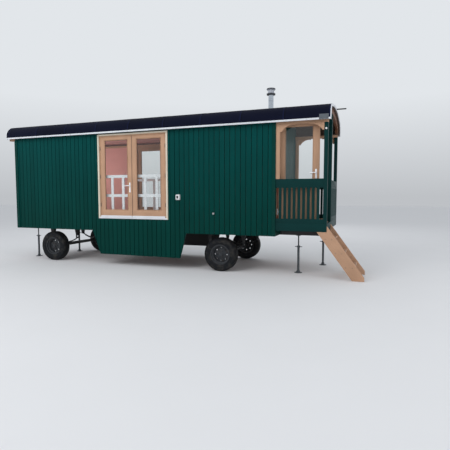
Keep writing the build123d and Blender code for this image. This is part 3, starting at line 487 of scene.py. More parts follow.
def mineral_felt(name, colours, first, pitch):
    """Mineral roofing felt: bitumen with 1 mm slate grains pressed in, dull, and paler where it has worn.

    Each sheet comes from a roll of its own tone. Its loose edge carries a painted highlight, and a
    painted shadow falls on the next sheet just past it.
    """
    material, tree, spot = new_material(name)
    # Drawn at 6 mm, because grains of 1 mm are too fine to show
    grains = drawn(tree, spot, 6, 2.0)
    wear = drawn(tree, spot, (900, 260, 260), 4.0)
    sheet = count_along(tree, spot, 0, first, pitch)
    # Painted highlight on each lap's edge and painted shadow just past it, drawn 25 mm wide each,
    # because the real edge is too fine to show
    near, far = 0.020 / pitch, 0.025 / pitch
    past = add(tree, "ShaderNodeMath", {0: sheet}, operation="FRACT")
    base = toned(
        tree, tuple(colours.felt), (grains, 0.84, 1.16), (wear, -0.16, 0.20),
        (one_each(tree, sheet), -0.12, 0.16, 0, 1), (past, 0.0, 1.4, 1 - far, 1 - near),
        (past, -0.55, 0.0, near, far),
    )
    coat(tree, {"Specular IOR Level": 0.12}, base, (grains, 0.62, 0.78), grains, 1.2)
    return material


def lining_boards(name, paint, pitch, sheen, axis):
    """Planed boards with a small joint between them, painted or stained: used inside and under the roof."""
    material, tree, spot = new_material(name)
    count = count_along(tree, spot, 1 if axis == 0 else 0, 0.0, pitch)
    edge = add(tree, "ShaderNodeMath", {0: count, 1: 0.5}, operation="PINGPONG")
    joint = add(tree, "ShaderNodeMapRange", {0: edge, 1: 0.035, 2: 0.012})
    fibre = drawn(tree, spot, fibres(axis, 300, 6))
    board = (one_each(tree, count), 0.92, 1.06, 0, 1)
    base = toned(tree, tuple(paint), board, (fibre, -0.05, 0.05))
    base = blended(tree, base, linear("#2A1E18"), joint, most=0.6)
    ridge = add(tree, "ShaderNodeMath", {0: joint, 1: -3.0, 2: fibre}, operation="MULTIPLY_ADD")
    coat(tree, {"Roughness": sheen}, base, height=ridge, depth=0.5)
    return material


def tyre_rubber(name, colours):
    """Vulcanised rubber, grey with road dust: matt, with dust lying in broad patches."""
    material, tree, spot = new_material(name)
    dust = drawn(tree, spot, 90, 5.0)
    fine = drawn(tree, spot, 4, 2.0)
    base = blended(tree, tuple(colours.rubber), linear("#55524B"), dust, 0.48, 0.70, 0.32)
    base = toned(tree, base, (fine, 0.92, 1.08))
    coat(tree, {"Specular IOR Level": 0.35}, base, (dust, 0.70, 0.88), fine, 0.3)
    return material


def metal_paint(name, paint, roughness=0.45, dirt="#3B2F25", amount=0.3):
    """Enamel on mild steel, sprayed: slightly uneven, with road dirt and rust bloom in patches."""
    material, tree, spot = new_material(name)
    patches = drawn(tree, spot, 120, 5.0)
    peel = drawn(tree, spot, 5, 2.0)
    base = toned(tree, tuple(paint), (patches, 0.88, 1.12))
    base = blended(tree, base, linear(dirt), patches, 0.55, 0.72, amount)
    coat(tree, {}, base, (patches, roughness - 0.06, roughness + 0.18), peel, 0.2)
    return material


def galvanised_steel(name, colours):
    """Hot-dipped zinc on steel: spangles of 12 mm in slightly different greys, dull with age."""
    material, tree, spot = new_material(name)
    place = spaced(tree, spot, (12, 12, 12))
    cells = add(tree, "ShaderNodeTexVoronoi", {"Vector": place, "Scale": 1.0}).outputs["Color"]
    shade = add(tree, "ShaderNodeSeparateColor", {0: cells})
    stain = drawn(tree, spot, 80, 4.0)
    base = toned(tree, tuple(colours.zinc), (shade, 0.86, 1.10, 0, 1), (stain, -0.15, 0.08))
    coat(tree, {"Metallic": 0.85}, base, (shade, 0.42, 0.58, 0, 1))
    return material


def brushed_stainless(name, colours):
    """Stainless sheet, brushed round the pipe: bright, with fine level scratches and a little soot."""
    material, tree, spot = new_material(name)
    scratches = drawn(tree, spot, (60, 60, 1.5))
    soot = drawn(tree, spot, 70, 4.0)
    base = toned(tree, tuple(colours.steel), (scratches, 0.94, 1.05), (soot, 0.0, -0.12, 0.5, 0.75))
    coat(tree, {"Metallic": 1.0}, base, (scratches, 0.24, 0.38), scratches, 0.1)
    return material


def lead_sheet(name, colours):
    """Lead sheet dressed by hand: dull grey with dents of about 25 mm and a pale bloom."""
    material, tree, spot = new_material(name)
    dents = drawn(tree, spot, 25, 2.0)
    bloom = drawn(tree, spot, 60, 5.0)
    base = toned(tree, tuple(colours.lead), (bloom, 0.85, 1.18))
    coat(tree, {"Metallic": 0.6}, base, (bloom, 0.5, 0.7), dents, 3.0)
    return material


def moulded_plastic(name, code, roughness=0.35):
    """Moulded ABS: smooth and even, with a fine spark-eroded texture and slight yellowing."""
    material, tree, spot = new_material(name)
    ageing = drawn(tree, spot, 50)
    texture = drawn(tree, spot, 1.5, 2.0)
    old = add(tree, "ShaderNodeHueSaturation", {"Color": linear(code), "Value": 0.86})
    base = blended(tree, linear(code), old, ageing, 0.4, 0.7, 0.25)
    coat(tree, {}, base, (ageing, roughness - 0.05, roughness + 0.08), texture, 0.1)
    return material


def float_glass(name):
    """Clear float glass: green only at its edges, smooth, with a faint film of dust."""
    material, tree, spot = new_material(name)
    film = drawn(tree, spot, 220, 4.0)
    base = blended(tree, linear("#FDFFFE"), linear("#F6FAF9"), film)
    end, shader = coat(tree, {"Transmission Weight": 1.0, "IOR": 1.45}, base, (film, 0.0, 0.025))
    # Light from the lamps passes straight through to what stands behind the pane
    lamp_rays = add(tree, "ShaderNodeLightPath").outputs["Is Shadow Ray"]
    clear = add(tree, "ShaderNodeBsdfTransparent")
    pane = add(tree, "ShaderNodeMixShader", {0: lamp_rays, 1: shader, 2: clear})
    tree.links.new(pane.outputs[0], end.inputs[0])
    return material


# Finishes

MATERIALS = {}


def material_of(name, maker, *values):
    """A material that is made once and then looked up by its name."""
    if name not in MATERIALS:
        MATERIALS[name] = maker(name, *values)
    return MATERIALS[name]


def grained(name, maker, *values):
    """Three materials that differ in the way their grain runs: along X, Y and Z."""
    return [material_of(f"{name}_{'xyz'[axis]}", maker, *values, axis) for axis in range(3)]


def trim_paint(scene):
    return grained("green_trim_paint", painted_timber, scene.hut_colours.green_trim, 0.35)


def timber(scene):
    return grained("oiled_larch", oiled_softwood, scene.hut_colours, (0, 0, 0))


def white_paint(scene):
    return grained("white_gloss_paint", painted_timber, scene.hut_colours.white, 0.2)


def lining_paint(scene, axis):
    """Paint on the planed boards inside the cabin, which run along X or Y."""
    name = f"salmon_eggshell_paint_{'xy'[axis]}"
    return material_of(name, lining_boards, scene.hut_colours.lining, LINING_PITCH, 0.55, axis)


def chassis_paint(scene):
    return [material_of("chassis_enamel", metal_paint, scene.hut_colours.chassis)]


def zinc(scene):
    return [material_of("galvanised_steel", galvanised_steel, scene.hut_colours)]


def stainless(scene):
    return [material_of("brushed_stainless", brushed_stainless, scene.hut_colours)]


def lead(scene):
    return [material_of("dressed_lead_sheet", lead_sheet, scene.hut_colours)]


def rubber(scene):
    return [material_of("vulcanised_rubber", tyre_rubber, scene.hut_colours)]


def powder_coat():
    return [material_of("white_powder_coat", moulded_plastic, "#F4F5F8", 0.30)]


def smoked_plastic():
    return material_of("smoked_plastic", moulded_plastic, "#1C2124", 0.2)


def glass():
    return material_of("clear_float_glass", float_glass)


# Shapes


class Shape:
    """A mesh in the making, joined from bars, prisms, turned forms and swept tubes."""

    def __init__(self):
        self.points = []
        self.faces = []
        self.finishes = []

    def put(self, points, faces, finish=0):
        """Adds points and faces, with the number of the material that the faces take."""
        base = len(self.points)
        self.points += [tuple(point) for point in points]
        self.faces += [[base + number for number in face] for face in faces]
        self.finishes += [finish] * len(faces)

    def skin(self, rings, finish=0):
        """A solid through rings of as many points each, closed at both ends."""
        points = [point for ring in rings for point in ring]
        count = len(rings[0])
        last = len(points) - count
        faces = [list(range(count)), list(range(last, last + count))]
        for one in range(0, last, count):
            two = one + count
            for step in range(count):
                following = (step + 1) % count
                faces.append([one + step, one + following, two + following, two + step])
        self.put(points, faces, finish)

    def prism(self, outline, axis, low, high, finish=0):
        """An outline drawn in the two other axes, made solid along one axis."""
        rings = []
        for end in (low, high):
            rings.append([(*pair[:axis], end, *pair[axis:]) for pair in outline])
        self.skin(rings, finish)

    def bar(self, x, y, z, ease=0.003, finish=None):
        """A straight bar with eased edges. Its grain follows its longest side."""
        low = [min(pair) for pair in (x, y, z)]
        high = [max(pair) for pair in (x, y, z)]
        sizes = [high[axis] - low[axis] for axis in range(3)]
        ease = min(ease, min(sizes) * 0.45)
        if finish is None:
            finish = sizes.index(max(sizes))
        # Each corner has three points, one on each face that meets there
        points = []
        for corner in range(8):
            for face_axis in range(3):
                inset = [0 if axis == face_axis else ease for axis in range(3)]
                points.append([
                    high[axis] - inset[axis] if corner >> axis & 1 else low[axis] + inset[axis]
                    for axis in range(3)
                ])
        faces = [[corner * 3 + axis for axis in range(3)] for corner in range(8)]
        for axis in range(3):
            one, two = [other for other in range(3) if other != axis]
            round_face = (0, 1 << one, 1 << one | 1 << two, 1 << two)
            for end in (0, 1 << axis):
                faces.append([(corner | end) * 3 + axis for corner in round_face])
            for first in round_face:
                second = first | 1 << axis
                faces.append([first * 3 + one, first * 3 + two, second * 3 + two, second * 3 + one])
        self.put(points, faces, finish)

    def turned(self, profile, matrix=Matrix(), steps=48, closed=False, finish=0):
        """A profile of (radius, height) pairs turned about Z, then moved by a matrix."""
        points = []
        rings = []
        for radius, height in profile:
            # A place on the axis is one point and not a ring
            count = steps if radius > 1e-6 else 1
            rings.append([len(points) + step for step in range(count)])
            for step in range(count):
                angle = 2 * math.pi * step / steps
                points.append(matrix @ Vector((radius * math.cos(angle), radius * math.sin(angle), height)))
        faces = []
        for one, two in zip(rings, rings[1:] + rings[:1] if closed else rings[1:]):
            if len(one) == len(two) == 1:
                continue
            for step in range(steps):
                following = (step + 1) % steps
                face = [ring[at % len(ring)] for ring, at in ((one, step), (one, following))]
                face += [ring[at % len(ring)] for ring, at in ((two, following), (two, step))]
                faces.append(list(dict.fromkeys(face)))
        if not closed:
            faces += [ring for ring in (rings[0], rings[-1]) if len(ring) > 1]
        self.put(points, faces, finish)

    def tube(self, path, radius, sides, finish=0):
        """A round bar along a path, closed at both ends."""
        path = [Vector(point) for point in path]
        rings = []
        side = (path[1] - path[0]).orthogonal()
        for number, point in enumerate(path):
            forward = (path[min(number + 1, len(path) - 1)] - path[max(number - 1, 0)]).normalized()
            side = (side - forward * side.dot(forward)).normalized()
            up = forward.cross(side)
            turns = [2 * math.pi * step / sides for step in range(sides)]
            rings.append([point + radius * (side * math.cos(turn) + up * math.sin(turn)) for turn in turns])
        self.skin(rings, finish)

    def moulding(self, x, z, face, out, profile, finish=(0, 2, 0, 2)):
        """A moulding round a rectangle in X and Z, mitred at its corners.

        The profile is (distance outwards from the rectangle, height above the face) pairs, and out is
        the direction along Y that the face looks in. Finishes go from the foot round to the low X side.
        """
        rings = []
        for right, up in ((0, 0), (1, 0), (1, 1), (0, 1)):
            ring = []
            for wide, high in profile:
                across = x[right] + (2 * right - 1) * wide
                ring.append((across, face + out * high, z[up] + (2 * up - 1) * wide))
            rings.append(ring)
        for number in range(4):
            self.skin((rings[number], rings[(number + 1) % 4]), finish[number])

    def mesh(self, name="shape", matrix=None):
        """The shape as a mesh whose faces all point outwards."""
        mesh = bpy.data.meshes.new(name)
        mesh.from_pydata(self.points, [], self.faces)
        mesh.polygons.foreach_set("material_index", self.finishes)
        if matrix:
            mesh.transform(matrix)
        return outward(mesh)


def in_mm(*outline):
    """An outline given in millimetres."""
    return [tuple(part * MM for part in point) for point in outline]


def cutter(x, y, z):
    """A plain block that other meshes are cut with or trimmed to."""
    shape = Shape()
    shape.prism(((y[0], z[0]), (y[1], z[0]), (y[1], z[1]), (y[0], z[1])), 0, *x)
    return shape.mesh()


def looking(x, y, z, out):
    """A place whose Z axis looks along Y: to the far side where out is 1, and to the near side where -1."""
    return Matrix.Translation((x, y, z)) @ Matrix.Rotation(math.radians(-90 * out), 4, "X")


def even_steps(low, high, pitch):
    """Evenly spaced values between two limits, at about a pitch."""
    count = max(1, round((high - low) / pitch))
    return [low + (high - low) * number / count for number in range(count + 1)]


def roof_line(inset, low, shoulder_steps=10, crown_steps=28):
    """Points (y, z) along the roof line drawn inwards by an inset, from the near foot to the far foot."""
    shoulder_y = ROOF_HALF - SHOULDER
    crown = SHOULDER + shoulder_y / math.sin(CROWN_TURN)
    crown_z = SPRING_Z - (crown - SHOULDER) * math.cos(CROWN_TURN)
    near = [(inset - ROOF_HALF, low)]
    for step in range(shoulder_steps):
        angle = math.pi / 2 - (math.pi / 2 - CROWN_TURN) * step / shoulder_steps
        reach = SHOULDER - inset
        near.append((-shoulder_y - reach * math.sin(angle), SPRING_Z + reach * math.cos(angle)))
    top = []
    for step in range(crown_steps + 1):
        angle = CROWN_TURN * (2 * step / crown_steps - 1)
        top.append(((crown - inset) * math.sin(angle), crown_z + (crown - inset) * math.cos(angle)))
    return near + top + mirrored(near)


def mirrored(line):
    """The points (y, z) of a line on the other side of the hut, in the opposite order."""
    return [(-y, z) for y, z in reversed(line)]


# Meshes


def outward(mesh, angle=30):
    """The mesh with outward faces, smooth but for its sharp edges."""
    work = bmesh.new()
    work.from_mesh(mesh)
    bmesh.ops.recalc_face_normals(work, faces=work.faces)
    for face in work.faces:
        face.smooth = True
    work.to_mesh(mesh)
    work.free()
    mesh.set_sharp_from_angle(angle=math.radians(angle))
    return mesh


def joined(meshes):
    """Several meshes as one, with the numbers of their materials kept."""
    work = bmesh.new()
    for mesh in meshes:
        work.from_mesh(mesh)
    whole = bpy.data.meshes.new("joined")
    work.to_mesh(whole)
    work.free()
    return outward(whole)


def node_points(node):
    """The places of a node's vertices."""
    return [vertex.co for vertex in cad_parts[node].data.vertices]


def box_of(points):
    """The lowest and the highest corner of the box round some points."""
    return [Vector([limit(point[axis] for point in points) for axis in range(3)]) for limit in (min, max)]


def side_box(node, side):
    """The lowest and highest corner of the half of a node that lies on one side of the centre line."""
    return box_of([point for point in node_points(node) if point.y * side > 0])


def faces_along_y(low, high, side):
    """The outer and the inner face of a box on one side of the hut."""
    return side * max(abs(low.y), abs(high.y)), side * min(abs(low.y), abs(high.y))


def longest_sides(mesh):
    """For each face, the axis of the longest side of the loose part that it belongs to."""
    parent = list(range(len(mesh.vertices)))

    def root(number):
        while parent[number] != number:
            parent[number] = parent[parent[number]]
            number = parent[number]
        return number

    for edge in mesh.edges:
        parent[root(edge.vertices[0])] = root(edge.vertices[1])
    parts = {}
    for vertex in mesh.vertices:
        parts.setdefault(root(vertex.index), []).append(vertex.co)
    axes = {}
    for number, points in parts.items():
        low, high = box_of(points)
        sizes = list(high - low)
        axes[number] = sizes.index(max(sizes))
    return [axes[root(face.vertices[0])] for face in mesh.polygons]


def eased(node, ease, grain=None, joints=()):
    """A copy of a node's mesh with its flat faces joined and its sharp edges eased.

    The grain is the number of the material, or a function that gives it for a face centre. Without it,
    the grain of each loose part follows its longest side. Joints are (axis, place) pairs where the
    faces are parted, so that the grain can turn there.
    """
    work = bmesh.new()
    work.from_mesh(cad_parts[node].data)
    bmesh.ops.remove_doubles(work, verts=work.verts, dist=0.00002)
    bmesh.ops.dissolve_limit(work, angle_limit=math.radians(0.4), verts=work.verts, edges=work.edges)
    sharp = []
    for edge in work.edges:
        if len(edge.link_faces) == 2 and edge.calc_face_angle() > math.radians(30):
            sharp.append(edge)
    bmesh.ops.bevel(
        work, geom=sharp, offset=ease, segments=2, profile=0.5, affect="EDGES", clamp_overlap=True
    )
    for axis, place_at in joints:
        whole = work.verts[:] + work.edges[:] + work.faces[:]
        normal = [float(axis == number) for number in range(3)]
        point = [place_at * part for part in normal]
        bmesh.ops.bisect_plane(work, geom=whole, dist=0.00001, plane_co=point, plane_no=normal)
    mesh = bpy.data.meshes.new(node)
    work.to_mesh(mesh)
    work.free()
    for attribute in ("custom_normal", "sharp_face", "sharp_edge"):
        if attribute in mesh.attributes:
            mesh.attributes.remove(mesh.attributes[attribute])
    if grain is None:
        numbers = longest_sides(mesh)
    elif callable(grain):
        numbers = [grain(face.center) for face in mesh.polygons]
    else:
        numbers = [grain] * len(mesh.polygons)
    mesh.polygons.foreach_set("material_index", numbers)
    return outward(mesh, 35)


def show(name, mesh, materials, body=HUT, nodes=()):
    """Puts a mesh or a shape in the scene, on its body, in place of the nodes that it stands for."""
    if isinstance(mesh, Shape):
        mesh = mesh.mesh()
    mesh.name = name
    numbers = [min(face.material_index, len(materials) - 1) for face in mesh.polygons]
    mesh.materials.clear()
    for material in materials:
        mesh.materials.append(material)
    mesh.polygons.foreach_set("material_index", numbers)
    piece = bpy.data.objects.new(name, mesh)
    bpy.context.scene.collection.objects.link(piece)
    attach(piece, body)
    if nodes:
        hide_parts(*nodes)
    return piece


def rework(name, node, materials, slot, ease, body=HUT, **how):
    """Shows a node's own shape with its edges eased, in place of the node."""
    return show(name, eased(node, ease, **how), materials, body, (node,))


def dress(node, material):
    """Gives a node that keeps showing its material."""
    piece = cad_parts[node]
    if not piece.data.materials:
        piece.data.materials.append(None)
    for slot in piece.material_slots:
        slot.link = "OBJECT"
        slot.material = material


# Geometry Nodes


def new_tree(name, *sockets):
    """A geometry tree with its inputs, and the sockets of its input node."""
    tree = bpy.data.node_groups.new(name, "GeometryNodeTree")
    sockets = (("Geometry", "Geometry", None), *sockets, ("Material", "Material", None))
    for label, kind, value in sockets:
        socket = tree.interface.new_socket(name=label, in_out="INPUT", socket_type="NodeSocket" + kind)
        if value is not None:
            socket.default_value = value
    tree.interface.new_socket(name="Geometry", in_out="OUTPUT", socket_type="NodeSocketGeometry")
    return tree, add(tree, "NodeGroupInput").outputs


def finish_tree(tree, given, points, item, turn=None):
    """Puts an item at each point, makes the instances real, gives them their material and ends the tree."""
    inputs = {"Points": points, "Instance": item}
    if turn:
        inputs["Rotation"] = turn
    real = add(tree, "GeometryNodeRealizeInstances", {0: add(tree, "GeometryNodeInstanceOnPoints", inputs)})
    coloured = {"Geometry": real, "Material": given["Material"]}
    add(tree, "NodeGroupOutput", {0: add(tree, "GeometryNodeSetMaterial", coloured)})


def board_row_tree():
    """Upright grooved boards side by side: each a trapezium in plan, its narrow face towards -Y."""
    tree, given = new_tree(
        "Board row", ("Count", "Int", 10), ("Height", "Float", 2.0), ("Pitch", "Float", 0.115),
        ("Groove", "Float", 0.012), ("Thickness", "Float", 0.012), ("Joint", "Float", 0.0003),
    )
    start = add(tree, "ShaderNodeMath", {0: given["Pitch"], 1: 0.5}, operation="MULTIPLY")
    start = add(tree, "ShaderNodeCombineXYZ", {0: start})
    step = add(tree, "ShaderNodeCombineXYZ", {0: given["Pitch"]})
    line = {"Count": given["Count"], "Start Location": start, "Offset": step}
    line = add(tree, "GeometryNodeMeshLine", line, mode="OFFSET")
    front = add(tree, "ShaderNodeMath", {0: given["Pitch"], 1: given["Groove"]}, operation="SUBTRACT")
    back = add(tree, "ShaderNodeMath", {0: given["Pitch"], 1: given["Joint"]}, operation="SUBTRACT")
    plan = {"Height": given["Thickness"], "Bottom Width": front, "Top Width": back, "Offset": 0.0}
    plan = add(tree, "GeometryNodeCurvePrimitiveQuadrilateral", plan, mode="TRAPEZOID")
    base = add(tree, "GeometryNodeFillCurve", {0: plan}, mode="NGONS")
    tall = {"Mesh": base, "Offset Scale": given["Height"], "Individual": False}
    both = add(tree, "GeometryNodeJoinGeometry", {0: add(tree, "GeometryNodeExtrudeMesh", tall)})
    tree.links.new(add(tree, "GeometryNodeFlipFaces", {0: base}).outputs[0], both.inputs[0])
    back = add(tree, "ShaderNodeMath", {0: given["Thickness"], 1: -0.5}, operation="MULTIPLY")
    back = add(tree, "ShaderNodeCombineXYZ", {1: back})
    board = {"Geometry": add(tree, "GeometryNodeMergeByDistance", {0: both}), "Translation": back}
    finish_tree(tree, given, line, add(tree, "GeometryNodeTransform", board))
    return tree


def on_points_tree():
    """A small item at each point of a mesh, its Z axis turned to the point's facing attribute."""
    tree, given = new_tree("Fasteners", ("Item", "Object", None))
    facing = add(tree, "GeometryNodeInputNamedAttribute", {0: "facing"}, data_type="FLOAT_VECTOR")
    turn = add(tree, "FunctionNodeAlignRotationToVector", {"Vector": facing}, axis="Z")
    item = add(tree, "GeometryNodeObjectInfo", {0: given["Item"]}).outputs["Geometry"]
    finish_tree(tree, given, given["Geometry"], item, turn)
    return tree


def ring_tree():
    """An item repeated round the Z axis, its X axis pointing outwards."""
    tree, given = new_tree(
        "Ring", ("Item", "Object", None), ("Count", "Int", 12), ("Radius", "Float", 0.3),
        ("Turn", "Float", 0.0),
    )
    step = add(tree, "ShaderNodeMath", {0: 2 * math.pi, 1: given["Count"]}, operation="DIVIDE")
    index = add(tree, "GeometryNodeInputIndex")
    angle = add(tree, "ShaderNodeMath", {0: index, 1: step, 2: given["Turn"]}, operation="MULTIPLY_ADD")
    place = []
    for way in ("COSINE", "SINE"):
        part = add(tree, "ShaderNodeMath", {0: angle}, operation=way)
        part = add(tree, "ShaderNodeMath", {0: part, 1: given["Radius"]}, operation="MULTIPLY")
        place.append(part)
    place = add(tree, "ShaderNodeCombineXYZ", dict(enumerate(place)))
    circle = {"Vertices": given["Count"], "Radius": given["Radius"]}
    points = {"Geometry": add(tree, "GeometryNodeMeshCircle", circle), "Position": place}
    points = add(tree, "GeometryNodeSetPosition", points)
    item = add(tree, "GeometryNodeObjectInfo", {0: given["Item"]}).outputs["Geometry"]
    finish_tree(tree, given, points, item, add(tree, "ShaderNodeCombineXYZ", {2: angle}))
    return tree


def arched_boards_tree():
    """Boards along X, side by side on an arched line that is drawn across them."""
    tree, given = new_tree(
        "Arched boards", ("Pitch", "Float", 0.09), ("Joint", "Float", 0.004), ("Thickness", "Float", 0.01),
        ("Length", "Float", 1.0),
    )
    line = add(tree, "GeometryNodeMeshToCurve", {0: given["Geometry"]})
    even = {"Curve": line, "Length": given["Pitch"]}
    even = add(tree, "GeometryNodeResampleCurve", even, mode="LENGTH")
    turn = {"Vector": add(tree, "GeometryNodeInputTangent")}
    turn = add(tree, "FunctionNodeAlignRotationToVector", turn, axis="Y", pivot_axis="X")
    wide = add(tree, "ShaderNodeMath", {0: given["Pitch"], 1: given["Joint"]}, operation="SUBTRACT")
    size = add(tree, "ShaderNodeCombineXYZ", {0: given["Length"], 1: wide, 2: given["Thickness"]})
    finish_tree(tree, given, even, add(tree, "GeometryNodeMeshCube", {"Size": size}), turn)
    return tree


TREES = {}


def linked(name, mesh):
    """An object in the scene that holds a mesh."""
    holder = bpy.data.objects.new(name, mesh)
    bpy.context.scene.collection.objects.link(holder)
    return holder


def plain(holder, *helpers):
    """The evaluated mesh of a temporary object, which is then removed with its helpers."""
    graph = bpy.context.evaluated_depsgraph_get()
    mesh = bpy.data.meshes.new_from_object(holder.evaluated_get(graph), depsgraph=graph)
    for item in (holder, *helpers):
        bpy.data.objects.remove(item)
    return mesh


def grown(maker, base=None, item=None, **values):
    """Runs a geometry tree on a mesh, with a shape as its item, and gives the result as a plain mesh."""
    if maker not in TREES:
        TREES[maker] = maker()
    holder = linked("holder", base or bpy.data.meshes.new("empty"))
    helpers = []
    if item:
        helpers.append(linked("item", item.mesh()))
        values["Item"] = helpers[0]
    modifier = holder.modifiers.new("Nodes", "NODES")
    modifier.node_group = TREES[maker]
    for socket in TREES[maker].interface.items_tree:
        if socket.item_type == "SOCKET" and socket.in_out == "INPUT" and socket.name in values:
            modifier[socket.identifier] = values[socket.name]
    return plain(holder, *helpers)


def carved(mesh, keep=None, cuts=()):
    """A mesh trimmed to the shape of one mesh and cut by others."""
    tools = [(keep, "INTERSECT")] if keep else []
    tools += [(cut, "DIFFERENCE") for cut in cuts]
    holder = linked("carved", mesh)
    helpers = []
    for tool, operation in tools:
        helpers.append(linked("tool", tool))
        modifier = holder.modifiers.new(operation, "BOOLEAN")
        modifier.operation = operation
        modifier.solver = "EXACT"
        modifier.object = helpers[-1]
    return plain(holder, *helpers)


def fasteners(name, item, places, material, slot):
    """The same small item at a list of (point, direction) places, as one piece."""
    base = bpy.data.meshes.new("points")
    base.from_pydata([tuple(point) for point, _ in places], [], [])
    facing = base.attributes.new("facing", "FLOAT_VECTOR", "POINT")
    facing.data.foreach_set("vector", [part for _, direction in places for part in direction])
    mesh = grown(on_points_tree, base, item, Material=material)
    return show(name, outward(mesh), [material])


def screw_head(radius=0.0045):
    """A low round screw head, standing on Z = 0."""
    low, rim, high = 0.0004, 0.0012, 0.0018
    profile = (
        (0, low), (radius * 0.5, low), (radius, low / 2), (radius * 0.96, rim), (radius * 0.6, high),
        (0, high),
    )
    head = Shape()
    head.turned(profile, steps=12)
    return head


def hex_nut(radius, high, stud):
    """A hexagonal nut with its stud showing, standing on Z = 0."""
    tip = high * 1.6
    profile = (
        (0, 0), (radius, 0), (radius, high * 0.85), (radius * 0.86, high), (stud, high), (stud, high * 1.5),
        (stud * 0.8, tip), (0, tip),
    )
    nut = Shape()
    nut.turned(profile, steps=6)
    return nut


# Walls


def board_wall(scene, name, turn, across, z, face, keep=None, cuts=(), nodes=()):
    """Grooved upright boards on one wall, their joints on one grid all round the hut.

    The turn is 0 for a wall that faces -Y, 90 for +X, 180 for +Y and 270 for -X, across is the wall's
    reach along its length, and face is the plane that the boards are nailed to.
    """
    sizes = scene.hut_boards
    axis = 1 if turn % 180 else 0
    grid = (CABIN_X[0], -WALL_FACE)[axis]
    first = math.floor((across[0] - grid) / sizes.pitch)
    last = math.ceil((across[1] - grid) / sizes.pitch)
    point = [face, face, z[0]]
    point[axis] = grid + (first if turn in (0, 90) else last) * sizes.pitch
    paint = material_of(
        f"green_satin_paint_{'xy'[axis]}", painted_boards, scene.hut_colours, sizes, grid, axis
    )
    mesh = grown(
        board_row_tree, Count=last - first, Height=z[1] - z[0], Pitch=sizes.pitch, Groove=sizes.groove,
        Thickness=sizes.thick, Joint=JOINT, Material=paint,
    )
    mesh.transform(Matrix.Translation(point) @ Matrix.Rotation(math.radians(turn), 4, "Z"))
    show(name, outward(carved(mesh, keep, cuts)), [paint], nodes=nodes)


def end_outline(half):
    """The outline of an end wall, below the roof and between the side walls."""
    right = [(half, GABLE_Z), (half, WALL_Z[0])]
    if half > INNER_FACE:
        right = [(INNER_FACE, GABLE_Z), (INNER_FACE, PLATE_Z), (half, PLATE_Z), (half, WALL_Z[0])]
    return mirrored(right) + roof_line(ROOF_SHELL, GABLE_Z) + right


def window_hole(side):
    """The hole in a long wall that a window frame fills."""
    low, high = side_box("window_frames", side)
    return (low.x + WINDOW_TRIM, high.x - WINDOW_TRIM), (low.z + WINDOW_TRIM, high.z - WINDOW_TRIM)


